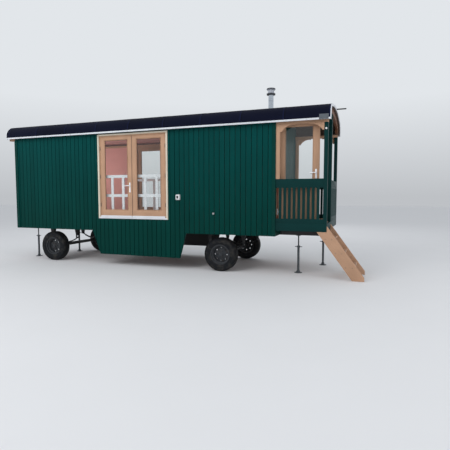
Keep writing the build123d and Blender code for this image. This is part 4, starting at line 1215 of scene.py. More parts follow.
class HUT_OT_cladding(Operator):
    """Boards the walls, gables and skirts, and covers the corners with strips"""

    bl_idname = "hut.cladding"
    bl_label = "Wall boards"

    def execute(self, context):
        scene = context.scene
        thick = scene.hut_boards.thick
        self.long_walls(scene, thick)
        self.end_walls(scene, thick)
        self.skirts(scene, thick)
        self.corners(scene)
        return {"FINISHED"}

    def long_walls(self, scene, thick):
        """The near and the far wall, each with the hole for its window."""
        inner_x = (CABIN_X[0] + thick, CABIN_X[1] - thick)
        for name, side in SIDES.items():
            through = (side * (INNER_FACE - CUT), side * (WALL_FACE + CUT))
            face = side * (WALL_FACE - thick)
            hole_x, hole_z = window_hole(side)
            hole = [cutter(hole_x, through, hole_z)]
            keep = cutter(CABIN_X, through, WALL_Z)
            turn = 0 if side < 0 else 180
            board_wall(scene, f"{name}_wall_boards", turn, CABIN_X, WALL_Z, face, keep, hole)
            slab = cutter(inner_x, (face, side * INNER_FACE), (WALL_Z[0], PLATE_Z))
            slab = outward(carved(slab, cuts=hole))
            nodes = (f"{name}_wall",)
            show(f"{name}_wall_lining", slab, [lining_paint(scene, 0)], nodes=nodes)

    def end_walls(self, scene, thick):
        """The back wall and the porch wall, each with its gable."""
        half = WALL_FACE - thick
        z = (WALL_Z[0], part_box("back_gable")[1].z)
        low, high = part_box("door_frame")
        door = cutter((low.x - CUT, low.x + WALL_DEPTH + CUT), (low.y, high.y), (low.z, high.z))
        for name, turn, end, inwards, cuts in (
            ("back", 270, CABIN_X[0], 1, []), ("porch", 90, CABIN_X[1], -1, [door]),
        ):
            face = end + inwards * thick
            keep = Shape()
            keep.prism(end_outline(half), 0, end, face)
            board_wall(scene, f"{name}_wall_boards", turn, (-half, half), z, face, keep.mesh(), cuts)
            slab = Shape()
            slab.prism(end_outline(INNER_FACE), 0, face, end + inwards * WALL_DEPTH)
            slab = outward(carved(slab.mesh(), cuts=cuts))
            nodes = (f"{name}_wall", f"{name}_gable")
            show(f"{name}_wall_lining", slab, [lining_paint(scene, 1)], nodes=nodes)

    def skirts(self, scene, thick):
        """The boarded skirts between the wheels, each on a backing panel."""
        backing = Shape()
        for name, side in SIDES.items():
            low, high = side_box("side_skirts", side)
            feet = [point.x for point in node_points("side_skirts") if point.z < low.z + CUT]
            outline = ((low.x, high.z), (high.x, high.z), (max(feet), low.z), (min(feet), low.z))
            face = side * (WALL_FACE - thick)
            keep = Shape()
            keep.prism(outline, 1, face, side * WALL_FACE)
            turn = 0 if side < 0 else 180
            board_wall(
                scene, f"{name}_skirt_boards", turn, (low.x, high.x), (low.z, high.z), face, keep.mesh(),
                nodes=("side_skirts",),
            )
            backing.prism(outline, 1, face, side * (WALL_FACE - SKIRT_DEPTH))
        show("skirt_backing", backing, chassis_paint(scene))

    def corners(self, scene):
        """Planed strips that cover the ends of the boards at the four corners, nailed through."""
        sizes = scene.hut_boards
        strips = Shape()
        nails = []
        proud = WALL_FACE + sizes.corner_thick
        for side in SIDES.values():
            for end, outwards in ((CABIN_X[0], -1), (CABIN_X[1], 1)):
                inward = end - outwards * sizes.corner_width
                strips.bar((inward, end), (side * WALL_FACE, side * proud), WALL_Z, sizes.ease)
                for z in even_steps(WALL_Z[0] + NAIL_INSET, WALL_Z[1] - NAIL_INSET, sizes.screw_pitch):
                    nails.append((((inward + end) / 2, side * proud, z), (0, side, 0)))
            back = CABIN_X[0]
            across = (side * proud, side * (WALL_FACE - sizes.corner_width))
            strips.bar((back - sizes.corner_thick, back), across, (WALL_Z[0], PLATE_Z), sizes.ease)
        paint = grained("corner_strip_paint", painted_timber, scene.hut_colours.green_low, 0.35)
        show("corner_strips", strips, paint)
        fasteners("corner_strip_nails", screw_head(), nails, *zinc(scene), "galvanised_steel")


# Roof


class HUT_OT_roof(Operator):
    """Lays the felt, trims its edges and boards the ceiling"""

    bl_idname = "hut.roof"
    bl_label = "Roof"

    def execute(self, context):
        scene = context.scene
        self.felt(scene)
        self.trims(scene)
        self.ceiling(scene)
        self.plates(scene)
        return {"FINISHED"}

    def felt(self, scene):
        """Sheets laid from eave to eave, the front edge of each one over the start of the next."""
        sizes = scene.hut_roof
        reach = ROOF_X[1] - ROOF_X[0] - sizes.lap
        count = round(reach / (sizes.sheet - sizes.lap))
        step = reach / count
        lift = sizes.lift
        shape = Shape()
        for number in range(count):
            start = ROOF_X[0] + number * step
            end = start + step + sizes.lap
            lines = []
            for x, height in ((start, 0), (start, lift), (end, 2 * lift), (end, lift)):
                lines.append([(x, y, z) for y, z in roof_line(-height, FELT_LOW_Z)])
            shape.skin(list(zip(*lines)))
        first = ROOF_X[0] + sizes.lap
        felt = material_of("mineral_roofing_felt", mineral_felt, scene.hut_colours, first, step)
        show("roof_felt", shape, [felt], nodes=("roof_covering",))

    def trims(self, scene):
        """White boards along the eaves and over both ends of the roof."""
        white = white_paint(scene)
        sizes = scene.hut_boards
        rework("eave_boards", "eave_trims", white, "white_paint", sizes.ease)
        rework("arch_boards", "arch_trims", white, "white_paint", sizes.ease, grain=1)
        low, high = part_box("eave_trims")
        screws = []
        for side in SIDES.values():
            for x in even_steps(ROOF_X[0] + NAIL_INSET, ROOF_X[1] - NAIL_INSET, sizes.screw_pitch):
                screws.append(((x, side * high.y, (low.z + high.z) / 2), (0, side, 0)))
        fasteners("eave_screws", screw_head(), screws, *zinc(scene), "galvanised_steel")
        self.sheets(scene, low, high)

    def sheets(self, scene, low, high):
        """A lead sheet near the front of each eave, dressed over the trim and the foot of the felt."""
        felt = 2 * scene.hut_roof.lift + JOINT

        def face(offset):
            """Points (y, z) up the trim and the felt, a distance clear of both."""
            reach = SHOULDER + felt + offset
            line = [(high.y + offset, low.z), (high.y + offset, high.z + offset)]
            line.append((ROOF_HALF + felt + offset, high.z + offset))
            for rise in even_steps(0, SHEET_RISE, SHEET_RISE / 4):
                line.append((ROOF_HALF - SHOULDER + math.sqrt(reach**2 - rise**2), SPRING_Z + rise))
            return line

        shape = Shape()
        for side in SIDES.values():
            outline = [(side * y, z) for y, z in face(SHEET_THICK) + face(JOINT)[::-1]]
            shape.prism(outline, 0, ROOF_X[1] - SHEET_X[1], ROOF_X[1] - SHEET_X[0])
        show("eave_sheets", shape, lead(scene))

    def ceiling(self, scene):
        """Stained boards that follow the curve under the roof shell."""
        colours = scene.hut_colours
        pitch = scene.hut_boards.ceiling_pitch
        stain = material_of("stained_softwood_x", lining_boards, colours.ceiling, pitch, 0.55, 0)
        paint = lining_paint(scene, 0)
        foot = GABLE_Z + pitch / 2
        line = [point for point in roof_line(ROOF_SHELL + CEILING_THICK / 2, foot) if point[1] >= foot]
        for name, x, finish in (
            ("back_soffit_boards", (ROOF_X[0], CABIN_X[0]), stain),
            ("cabin_ceiling_boards", (CABIN_X[0] + WALL_DEPTH, CABIN_X[1] - WALL_DEPTH), paint),
            ("porch_ceiling_boards", (CABIN_X[1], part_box("porch_bow")[0].x), stain),
        ):
            base = bpy.data.meshes.new("line")
            points = [((x[0] + x[1]) / 2, y, z) for y, z in line]
            base.from_pydata(points, [(number, number + 1) for number in range(len(line) - 1)], [])
            mesh = grown(
                arched_boards_tree, base, Pitch=pitch, Joint=CEILING_JOINT, Thickness=CEILING_THICK,
                Length=x[1] - x[0], Material=finish,
            )
            show(name, outward(mesh), [finish])
        dress("roof_crown", stain)
        dress("roof_shoulders", stain)

    def plates(self, scene):
        """Wall plates: planed timber where they show at the back and over the porch."""
        shape = Shape()
        low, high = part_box("wall_plates")
        sizes = scene.hut_boards
        z = (PLATE_Z, WALL_Z[1])
        for side in SIDES.values():
            outer, inner = side * WALL_FACE, side * INNER_FACE
            shape.bar((low.x, CABIN_X[0]), (outer, inner), z, sizes.ease, 0)
            shape.bar(CABIN_X, (side * (WALL_FACE - sizes.thick), inner), z, sizes.ease / 3, 0)
            shape.bar((CABIN_X[1], high.x), (outer, inner), z, sizes.ease, 0)
        show("wall_plate_timbers", shape, timber(scene), nodes=("wall_plates",))


# Joinery


def lever_handle(shape, x, face, out, z):
    """A lever on a long plate, pointing to -X. Out is the way along Y that the face looks."""
    shape.bar(
        (x - PLATE_WIDTH / 2, x + PLATE_WIDTH / 2), (face, face + out * PLATE_THICK),
        (z - PLATE_DROP, z + PLATE_HEIGHT - PLATE_DROP), PLATE_THICK * 0.4, 0,
    )
    shape.turned(in_mm(*LEVER_COLLAR), looking(x, face, z, out), 24)
    reach = face + out * LEVER_REACH
    path = [(x - length, reach - out * back, z + rise) for length, back, rise in in_mm(*LEVER_PATH)]
    shape.tube(path, LEVER_RADIUS, 12)


def barrel_hinge(shape, x, y, z):
    """A barrel hinge with three knuckles and a ball finial at each end."""
    half = [(HINGE_RADIUS * wide, HINGE_HEIGHT * high) for wide, high in HINGE_HALF]
    profile = [(wide, -high) for wide, high in half] + half[::-1]
    shape.turned(profile, Matrix.Translation((x, y, z)), 16)


def glazing_bead(shape, x, z, face, out):
    """A quarter-round bead inside an opening, against the glass."""
    deep = BEAD * 0.9
    profile = [(0, 0), (0, BEAD)]
    for step in range(5):
        angle = math.radians(90 * step / 4)
        profile.append((-deep * math.sin(angle), BEAD * math.cos(angle)))
    profile.append((-deep, 0))
    shape.moulding(x, z, face, out, profile)


class HUT_OT_windows(Operator):
    """Makes the French windows: architraves, leaves, beads, weather bars, levers, hinges and guard rails"""

    bl_idname = "hut.windows"
    bl_label = "French windows"

    def execute(self, context):
        scene = context.scene
        ease = scene.hut_boards.ease
        self.leaf_boxes = {side: side_box("window_leaves", side) for side in SIDES.values()}
        self.architraves(scene)
        self.fittings(scene, ease)
        self.frames(scene, ease)
        self.leaves(scene, ease)
        rework("window_guards", "window_guard_rails", powder_coat(), "white_metal", ease)
        self.guard_bolts(scene)
        dress("window_glass", glass())
        return {"FINISHED"}

    def leaf_starts(self, side):
        """Where each of a window's two leaves starts along X, and how wide they are."""
        low, high = self.leaf_boxes[side]
        width = (high.x - low.x - LEAF_GAP) / 2
        return (low.x, low.x + width + LEAF_GAP), width

    def architraves(self, scene):
        """A moulded architrave round each window, cream but for the white foot."""
        shape = Shape()
        for side in SIDES.values():
            hole_x, hole_z = window_hole(side)
            proud = abs(faces_along_y(*side_box("window_frames", side), side)[0]) - WALL_FACE
            profile = (
                (-ARCHITRAVE_LIP, -ARCHITRAVE_SEAT), (-ARCHITRAVE_LIP, proud * 0.6),
                (-ARCHITRAVE_LIP / 2, proud * 0.9), (ARCHITRAVE_ROUND, proud), (WINDOW_TRIM * 0.7, proud),
                (WINDOW_TRIM * 0.9, proud * 0.8), (WINDOW_TRIM, proud * 0.5), (WINDOW_TRIM, 0), (0, 0),
                (0, -ARCHITRAVE_SEAT),
            )
            shape.moulding(hole_x, hole_z, side * WALL_FACE, side, profile, (3, 2, 0, 2))
        cream = grained("cream_paint", painted_timber, scene.hut_colours.cream, 0.2)
        show("window_architraves", shape, cream + white_paint(scene)[:1])

    def fittings(self, scene, ease):
        """Beads, weather bars, hinges, levers and seals."""
        beads, bars, levers, hinges, seals = Shape(), Shape(), Shape(), Shape(), Shape()
        for side in SIDES.values():
            low, high = self.leaf_boxes[side]
            outer, inner = faces_along_y(low, high, side)
            middle = (outer + inner) / 2
            starts, width = self.leaf_starts(side)
            for start in starts:
                pane_x = (start + LEAF_STILE, start + width - LEAF_STILE)
                pane_z = (low.z + LEAF_BOTTOM_RAIL, high.z - LEAF_TOP_RAIL)
                for out in (side, -side):
                    glazing_bead(beads, pane_x, pane_z, middle + out * GLASS_HALF, out)
                self.weather_bar(bars, (start + BAR_INSET, start + width - BAR_INSET), outer, side, low.z)
            for x in (low.x, high.x):
                for z in even_steps(low.z + HINGE_END, high.z - HINGE_END, (high.z - low.z) / 2 - HINGE_END):
                    barrel_hinge(hinges, x, outer + side * HINGE_RADIUS * 0.5, z)
            for face, out in ((outer, side), (inner, -side)):
                lever_handle(levers, low.x + width - LEAF_STILE / 2, face, out, WINDOW_LEVER_Z)
            # A rubber seal fills the joint where the leaves meet
            seal_x = (low.x + width + (LEAF_GAP - SEAL) / 2, low.x + width + (LEAF_GAP + SEAL) / 2)
            seal_y = (outer, outer + side * SEAL_PROUD)
            seals.bar(seal_x, seal_y, (low.z + BAR_HEIGHT, high.z - ease), SEAL_PROUD / 3, 0)
        show("window_beads", beads, timber(scene))
        show("window_weather_bars", bars, white_paint(scene))
        show("window_levers", levers, powder_coat())
        show("window_hinges", hinges, zinc(scene))
        show("window_seals", seals, rubber(scene))

    def weather_bar(self, shape, x, face, side, low_z):
        """A bar that throws rain clear of the foot of a leaf, its top sloping and its tip undercut."""
        z = low_z - BAR_DROP
        top = low_z + 0.001
        clear = side * (WALL_FACE + JOINT * 2)
        tip = face + side * BAR_REACH
        outline = (
            (face, top), (clear, top), (clear, z), (face + side * BAR_REACH * 0.8, z + 0.002), (tip, z),
            (tip, z + BAR_HEIGHT * 0.45), (face + side * BAR_REACH * 0.4, z + BAR_HEIGHT * 0.95),
            (face, z + BAR_HEIGHT),
        )
        shape.prism(outline, 0, *x)

    def frames(self, scene, ease):
        """Two jambs, a head and a sill for each window, with the rebate that the leaves close against."""
        shape = Shape()
        for side in SIDES.values():
            hole_x, hole_z = window_hole(side)
            stop = faces_along_y(*self.leaf_boxes[side], side)[1]
            front, back = side * WALL_FACE, side * (WALL_FACE - FRAME_DEPTH)
            for y, depth in (((front, stop), WINDOW_FRAME), ((stop, back), WINDOW_FRAME + WINDOW_STOP)):
                across = (hole_x[0] + depth, hole_x[1] - depth)
                for outer, inner in zip(hole_x, across):
                    shape.bar((outer, inner), y, hole_z, ease * 0.5, 2)
                for outer, inner in zip(hole_z, (hole_z[0] + depth, hole_z[1] - depth)):
                    shape.bar(across, y, (outer, inner), ease * 0.5, 0)
        show("window_frame_timbers", shape, timber(scene), nodes=("window_frames",))

    def leaves(self, scene, ease):
        """The leaves, their grain turning where the stiles meet the rails."""

        def grain(centre):
            side = 1 if centre.y > 0 else -1
            width = self.leaf_starts(side)[1]
            reach = (centre.x - self.leaf_boxes[side][0].x) % (width + LEAF_GAP)
            return 2 if reach < LEAF_STILE or reach > width - LEAF_STILE else 0

        joints = []
        for side in SIDES.values():
            starts, width = self.leaf_starts(side)
            for start in starts:
                joints += [(0, start + LEAF_STILE), (0, start + width - LEAF_STILE)]
        rework(
            "window_leaf_timbers", "window_leaves", timber(scene), "oiled_timber", ease * 0.7, grain=grain,
            joints=joints,
        )

    def guard_bolts(self, scene):
        """Bolts through the upright bars, where they cross the top and middle rails."""
        places = []
        for side in SIDES.values():
            low, high = side_box("window_guard_rails", side)
            outer, inner = faces_along_y(low, high, side)
            end = GUARD_BOARD / 2
            for x in even_steps(low.x + end, high.x - end, (high.x - low.x - GUARD_BOARD) / GUARD_BAYS):
                for z in (high.z - end, low.z + GUARD_MID + end):
                    places += [((x, outer, z), (0, side, 0)), ((x, inner, z), (0, -side, 0))]
        fasteners("guard_rail_bolts", screw_head(BOLT_HEAD), places, *stainless(scene), "stainless_steel")


class HUT_OT_door(Operator):
    """Dresses the entrance door with mouldings, a lever on each face and its hinges"""

    bl_idname = "hut.door"
    bl_label = "Entrance door"

    def execute(self, context):
        scene = context.scene
        ease = scene.hut_boards.ease * 0.5
        low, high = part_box("entrance_door")
        glass_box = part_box("entrance_door_glass")
        faces = ((high.y - DOOR_THICK, glass_box[0].y, -1), (high.y, glass_box[1].y, 1))
        self.timbers(scene, ease, high.y - DOOR_THICK, glass_box)
        self.mouldings(scene, faces, low.z, *glass_box)
        self.levers(faces, high)
        dress("entrance_door_glass", glass())
        return {"FINISHED"}

    def timbers(self, scene, ease, outer_y, glass_box):
        """The leaf and the frame, with the hinge leaves that belong to each."""
        glass_low, glass_high = glass_box
        frame_low, frame_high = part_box("door_frame")
        finishes = timber(scene) + powder_coat()

        def leaf_grain(centre):
            if centre.y < outer_y - HAIR or centre.x < glass_low.x - DOOR_STILE - 2 * HAIR:
                return 3
            return 0 if glass_low.x < centre.x < glass_high.x else 2

        def frame_grain(centre):
            if centre.x > CABIN_X[1] + DOOR_PROUD + HAIR:
                return 3
            return 1 if centre.z > frame_high.z - DOOR_HEAD or centre.z < frame_low.z + THRESHOLD else 2

        rework(
            "door_leaf", "entrance_door", finishes, "oiled_timber", ease, DOOR_LEAF, grain=leaf_grain,
            joints=[(0, glass_low.x), (0, glass_high.x)],
        )
        rework("door_frame_timbers", "door_frame", finishes, "oiled_timber", ease, grain=frame_grain)

    def mouldings(self, scene, faces, foot, low, high):
        """Beads round the glass and round the lower panel, and the raised field of the panel."""
        shape = Shape()
        pane_x = (low.x, high.x)
        panel_z = (foot + DOOR_BOTTOM_RAIL, low.z - DOOR_LOCK_RAIL)
        for face, glass_face, out in faces:
            glazing_bead(shape, pane_x, (low.z, high.z), glass_face, out)
            floor = face - out * PANEL_RECESS
            glazing_bead(shape, pane_x, panel_z, floor, out)
            field_x = (pane_x[0] + PANEL_FIELD, pane_x[1] - PANEL_FIELD)
            field_z = (panel_z[0] + PANEL_FIELD, panel_z[1] - PANEL_FIELD)
            shape.bar(field_x, (floor, floor + out * PANEL_RAISE), field_z, PANEL_RAISE * 0.9, 2)
        show("door_mouldings", shape, timber(scene), DOOR_LEAF)

    def levers(self, faces, leaf_high):
        """A lever and a key rose on each face, and the lock's plate, let into the edge of the stile."""
        shape = Shape()
        handle_low, handle_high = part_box("entrance_door_handles")
        x = leaf_high.x - DOOR_STILE / 2
        z = (handle_low.z + handle_high.z) / 2
        for face, _, out in faces:
            lever_handle(shape, x, face, out, z)
            shape.turned(in_mm(*KEY_ROSE), looking(x, face, z - KEY_DROP, out), 20)
        edge = (leaf_high.x, leaf_high.x + LOCK_PLATE)
        middle = leaf_high.y - DOOR_THICK / 2
        lock_z = (z + LOCK_Z[0], z + LOCK_Z[1])
        shape.bar(edge, (middle - LOCK_HALF, middle + LOCK_HALF), lock_z, LOCK_PLATE / 3, 0)
        show("door_levers", shape, powder_coat(), DOOR_LEAF, ("entrance_door_handles",))


# Porch and stair


class HUT_OT_porch(Operator):
    """Makes the porch: deck boards, posts, balustrades, casings with brackets, and the bow"""

    bl_idname = "hut.porch"
    bl_label = "Porch"

    def execute(self, context):
        scene = context.scene
        self.timbers(scene, scene.hut_boards.ease)
        self.deck(scene)
        self.screws(scene)
        self.lamps()
        return {"FINISHED"}

    def timbers(self, scene, ease):
        """Balustrades, posts, edge beams, casings and the bow."""
        green = trim_paint(scene)
        rail_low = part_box("near_balustrade")[1].z - TOP_BOARD
        foot_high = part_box("near_balustrade")[0].z + BOTTOM_BOARD

        def rails_along(axis):
            return lambda centre: axis if centre.z > rail_low or centre.z < foot_high else 2

        for node, axis in (("near_balustrade", 0), ("far_balustrade", 0), ("end_balustrade", 1)):
            rework(
                f"{node}_boards", node, green, "green_paint", ease, grain=rails_along(axis),
                joints=((2, rail_low), (2, foot_high)),
            )
        rework("porch_post_timbers", "porch_posts", green, "green_paint", ease)
        rework(
            "edge_beam_timbers", "porch_edge_beams", green, "green_paint", ease,
            grain=lambda centre: 0 if abs(centre.y) > INNER_FACE else 1,
        )
        rework("casing_timbers", "porch_casings", timber(scene), "oiled_timber", ease, grain=2)
        # Painted shade: the bow takes a darker copy of the timber, for the shade that it stands in
        stain = material_of("stained_bow", painted_timber, linear("#6E4A37"), 0.35, 1)
        rework("bow_timber", "porch_bow", [stain], "oiled_timber", ease, grain=0)

    def deck(self, scene):
        """Boards along the hut, with a gap to drain between them, screwed to the bearers."""
        low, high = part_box("porch_floor")
        pitch = scene.hut_boards.deck_pitch
        count = math.ceil((high.y - low.y) / pitch)
        wood = timber(scene)[0]
        mesh = grown(
            board_row_tree, Count=count, Height=high.x - low.x, Pitch=pitch, Groove=DECK_GAP,
            Thickness=high.z - low.z, Joint=DECK_GAP * 0.8, Material=wood,
        )
        # The row's own X, Y and Z become the hut's Y, -Z and -X
        mesh.transform(Matrix(((0, 0, -1, high.x), (1, 0, 0, low.y), (0, -1, 0, low.z), (0, 0, 0, 1))))
        mesh = carved(mesh, cutter((low.x, high.x), (low.y, high.y), (low.z - CUT, high.z + CUT)))
        show("porch_deck_boards", outward(mesh), [wood], nodes=("porch_floor",))
        screws = []
        for number in range(count):
            for x in (low.x + BEARER, (low.x + high.x) / 2, high.x - BEARER):
                for part in (0.25, 0.75):
                    y = low.y + (number + part) * pitch
                    if y < high.y - CUT:
                        screws.append(((x, y, high.z), (0, 0, 1)))
        fasteners("deck_screws", screw_head(), screws, *zinc(scene), "galvanised_steel")

    def screws(self, scene):
        """Screws that hold the slats of the balustrades to their rails."""
        screws = []
        for node, axis, across, way in (
            ("near_balustrade", 0, -WALL_FACE, (0, -1, 0)), ("far_balustrade", 0, WALL_FACE, (0, 1, 0)),
            ("end_balustrade", 1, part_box("end_balustrade")[1].x, (1, 0, 0)),
        ):
            low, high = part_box(node)
            count = round((high[axis] - low[axis]) / SLAT_PITCH)
            for number in range(count):
                point = [across, across, 0.0]
                point[axis] = low[axis] + (number + 0.5) * (high[axis] - low[axis]) / count
                for z in (high.z - TOP_BOARD / 4, high.z - TOP_BOARD * 0.75, low.z + BOTTOM_BOARD / 2):
                    screws.append(((*point[:2], z), way))
        fasteners("balustrade_screws", screw_head(SLAT_SCREW), screws, trim_paint(scene)[0], "green_paint")

    def lamps(self):
        """A small round lamp on the outer face of each corner post, under the eave."""
        shape = Shape()
        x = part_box("porch_posts")[1].x - POST / 2
        for side in SIDES.values():
            spot = looking(x, side * WALL_FACE, LAMP_Z, side)
            shape.turned(in_mm(*LAMP_BASE), spot, 32, finish=1)
            shape.turned(in_mm(*LAMP_DOME), spot, 32)
        opal = material_of("opal_plastic", moulded_plastic, "#E6E7E8")
        show("porch_lamps", shape, [opal, smoked_plastic()])


class HUT_OT_stair(Operator):
    """Makes the stair: slanting stringers and grooved treads with their screws"""

    bl_idname = "hut.stair"
    bl_label = "Stair"

    def execute(self, context):
        scene = context.scene
        lean = (0, STAIR_LEAN, 0)
        wood = [material_of("oiled_larch_slanted", oiled_softwood, scene.hut_colours, lean, 2)]
        ease = scene.hut_boards.ease
        rework("stringer_timbers", "stair_stringers", wood, "oiled_timber", ease, grain=0)
        treads = Shape()
        screws = []
        stair_low, stair_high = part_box("stair_stringers")
        for low, high in self.tread_boxes():
            treads.prism(self.tread_outline(low, high), 1, low.y, high.y)
            for part in (0.25, 0.75):
                for y, way in ((stair_low.y, -1), (stair_high.y, 1)):
                    point = (low.x + part * (high.x - low.x), y, (low.z + high.z) / 2)
                    screws.append((point, (0, way, 0)))
        show("tread_boards", treads, timber(scene)[1:2], nodes=("stair_treads",))
        fasteners("stair_screws", screw_head(BOLT_HEAD), screws, *zinc(scene), "galvanised_steel")
        return {"FINISHED"}

    def tread_outline(self, low, high):
        """A tread's section, with eased corners and grooves near its front edge."""
        ease, half, foot = TREAD_EASE, TREAD_GROOVE / 2, TREAD_GROOVE / 3
        outline = [(low.x, low.z + ease), (low.x + ease, low.z), (high.x - ease, low.z)]
        outline += [(high.x, low.z + ease), (high.x, high.z - ease), (high.x - ease, high.z)]
        for number in range(TREAD_GROOVES):
            middle = high.x - TREAD_NOSE - number * TREAD_GROOVE_PITCH
            for away, drop in ((half, 0), (foot, TREAD_GROOVE), (-foot, TREAD_GROOVE), (-half, 0)):
                outline.append((middle + away, high.z - drop))
        return outline + [(low.x + ease, high.z), (low.x, high.z - ease)]

    def tread_boxes(self):
        """The lowest and highest corner of each tread, read from the frame."""
        places = node_points("stair_treads")
        levels = sorted({round(point.z, 4) for point in places})
        boxes = []
        for low_z, high_z in zip(levels[0::2], levels[1::2]):
            boxes.append(box_of([point for point in places if low_z - CUT < point.z < high_z + CUT]))
        return boxes


# Running gear


class HUT_OT_chassis(Operator):
    """Dresses the chassis, axles, springs and screw props, and adds their nuts and threads"""

    bl_idname = "hut.chassis"
    bl_label = "Chassis"

    def execute(self, context):
        scene = context.scene
        colours = scene.hut_colours
        for node in ("chassis_rails", "chassis_cross_members", "axles", "leaf_springs"):
            rework(f"{node}_steel", node, chassis_paint(scene), "chassis_paint", STEEL_EASE)
        stain = material_of("stained_softwood_y", lining_boards, colours.ceiling, BEARER_PITCH, 0.55, 1)
        rework("bearer_timbers", "floor_bearers", [stain], "sawn_boards", scene.hut_boards.ease, grain=0)
        floor = material_of("oiled_floor_boards", lining_boards, colours.floor, LINING_PITCH, 0.4, 0)
        dress("cabin_floor", floor)
        rework("prop_steel", "screw_props", zinc(scene), "galvanised_steel", THIN_EASE)
        self.threads(scene)
        self.nuts(scene)
        return {"FINISHED"}

    def threads(self, scene):
        """The thread on each prop's screw, as close rings."""
        shape = Shape()
        start, end = PROP_SCREW_Z
        profile = [(0, start)]
        for number in range(round((end - start) / THREAD)):
            z = start + number * THREAD
            profile += [(PROP_SCREW, z), (PROP_SCREW + THREAD_DEPTH, z + THREAD / 2)]
        profile.append((0, end))
        for side in SIDES.values():
            low, high = side_box("screw_props", side)
            for x in (low.x + PROP_FOOT, high.x - PROP_FOOT):
                shape.turned(profile, Matrix.Translation((x, side * PROP_Y, 0)), 20)
        show("prop_threads", shape, zinc(scene))

    def nuts(self, scene):
        """Nuts under the saddle plates that clamp the springs to the axles."""
        places = []
        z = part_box("leaf_springs")[0].z
        for end in ("back", "front"):
            low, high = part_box(f"near_{end}_tyre")
            for side in SIDES.values():
                for x in (-U_BOLT_X, U_BOLT_X):
                    for y in (-U_BOLT_Y, U_BOLT_Y):
                        places.append((((low.x + high.x) / 2 + x, side * (PROP_Y + y), z), (0, 0, -1)))
        fasteners("spring_nuts", hex_nut(*U_BOLT_NUT), places, *zinc(scene), "galvanised_steel")


class HUT_OT_wheels(Operator):
    """Makes the road wheels: treaded tyres with ringed walls, painted discs, nuts and valves"""

    bl_idname = "hut.wheels"
    bl_label = "Road wheels"

    def execute(self, context):
        scene = context.scene
        dull = scene.hut_colours.wheel
        paint = material_of("wheel_enamel", metal_paint, dull, 0.5, "#4A3B2C", 0.4)
        for side_name, side in SIDES.items():
            for end in ("back", "front"):
                name = f"{side_name}_{end}"
                body = f"{name}_road_wheel"
                low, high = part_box(f"{name}_tyre")
                place_at = looking(*(low + high) / 2, side)
                tyre = self.tyre(scene, (high.z - low.z) / 2, (high.y - low.y) / 2)
                tyre.transform(place_at)
                nodes = (f"{name}_tyre",)
                show(f"{name}_treaded_tyre", outward(tyre), rubber(scene), body, nodes)
                rework(
                    f"{name}_wheel_steel", f"{name}_wheel", [paint], "wheel_paint", THIN_EASE, body, grain=0
                )
                self.fittings(scene, name, body, place_at, paint)
        return {"FINISHED"}

    def tyre(self, scene, radius, half):
        """A tyre about Z: a carcass with ringed walls, and ribs of tread blocks in a ring."""
        sizes = scene.hut_wheels
        deep = sizes.block_depth
        base = radius - deep
        wall = [(reach, away * half / TYRE_HALF) for reach, away in in_mm(*TYRE_WALL)]
        tread = half * TREAD_EDGE
        profile = [(reach, -away) for reach, away in wall] + [(base, -tread), (base, tread)] + wall[::-1]
        carcass = Shape()
        carcass.turned(profile, steps=96, closed=True)
        meshes = [carcass.mesh()]

        def ring(block, turn=0.0):
            """The block repeated all round the tyre."""
            material = rubber(scene)[0]
            return grown(
                ring_tree, item=block, Count=sizes.blocks, Radius=base, Turn=turn, Material=material
            )

        rib = 2 * half * TREAD_HALF / sizes.ribs
        pitch = 2 * math.pi * radius / sizes.blocks
        for number in range(sizes.ribs):
            middle = (number + 0.5) * rib - half * TREAD_HALF
            block = Shape()
            block_z = (middle - rib * 0.42, middle + rib * 0.42)
            block.bar((-BLOCK_ROOT, deep), (-pitch * 0.40, pitch * 0.40), block_z, BLOCK_EASE, 0)
            meshes.append(ring(block, number * math.pi / sizes.blocks))
        # Lugs on both shoulders, at the edge of the tread
        for side in (-half, half):
            outline = [(rise, side * away) for rise, away in LUG]
            outline += [(deep * 0.4, side * TREAD_HALF), (LUG_FOOT, side * TREAD_EDGE)]
            lug = Shape()
            lug.prism(outline, 1, -pitch * 0.27, pitch * 0.27)
            meshes.append(ring(lug))
        return joined(meshes)

    def fittings(self, scene, name, body, place_at, paint):
        """Wheel nuts on their studs, painted over with the disc, and the valve."""
        sizes = scene.hut_wheels
        nuts = grown(
            ring_tree, item=hex_nut(NUT_RADIUS, NUT_HEIGHT, NUT_RADIUS * 0.55), Count=sizes.nuts,
            Radius=sizes.nut_circle, Turn=0.0, Material=paint,
        )
        nuts.transform(place_at @ Matrix.Translation((0, 0, DISC_FACE)))
        show(f"{name}_wheel_nuts", outward(nuts), [paint], body)
        valve = Shape()
        valve.tube(in_mm(*VALVE_PATH), VALVE_RADIUS, 10)
        show(f"{name}_valve", valve.mesh(matrix=place_at), rubber(scene), body)


# Chimney and wall fittings


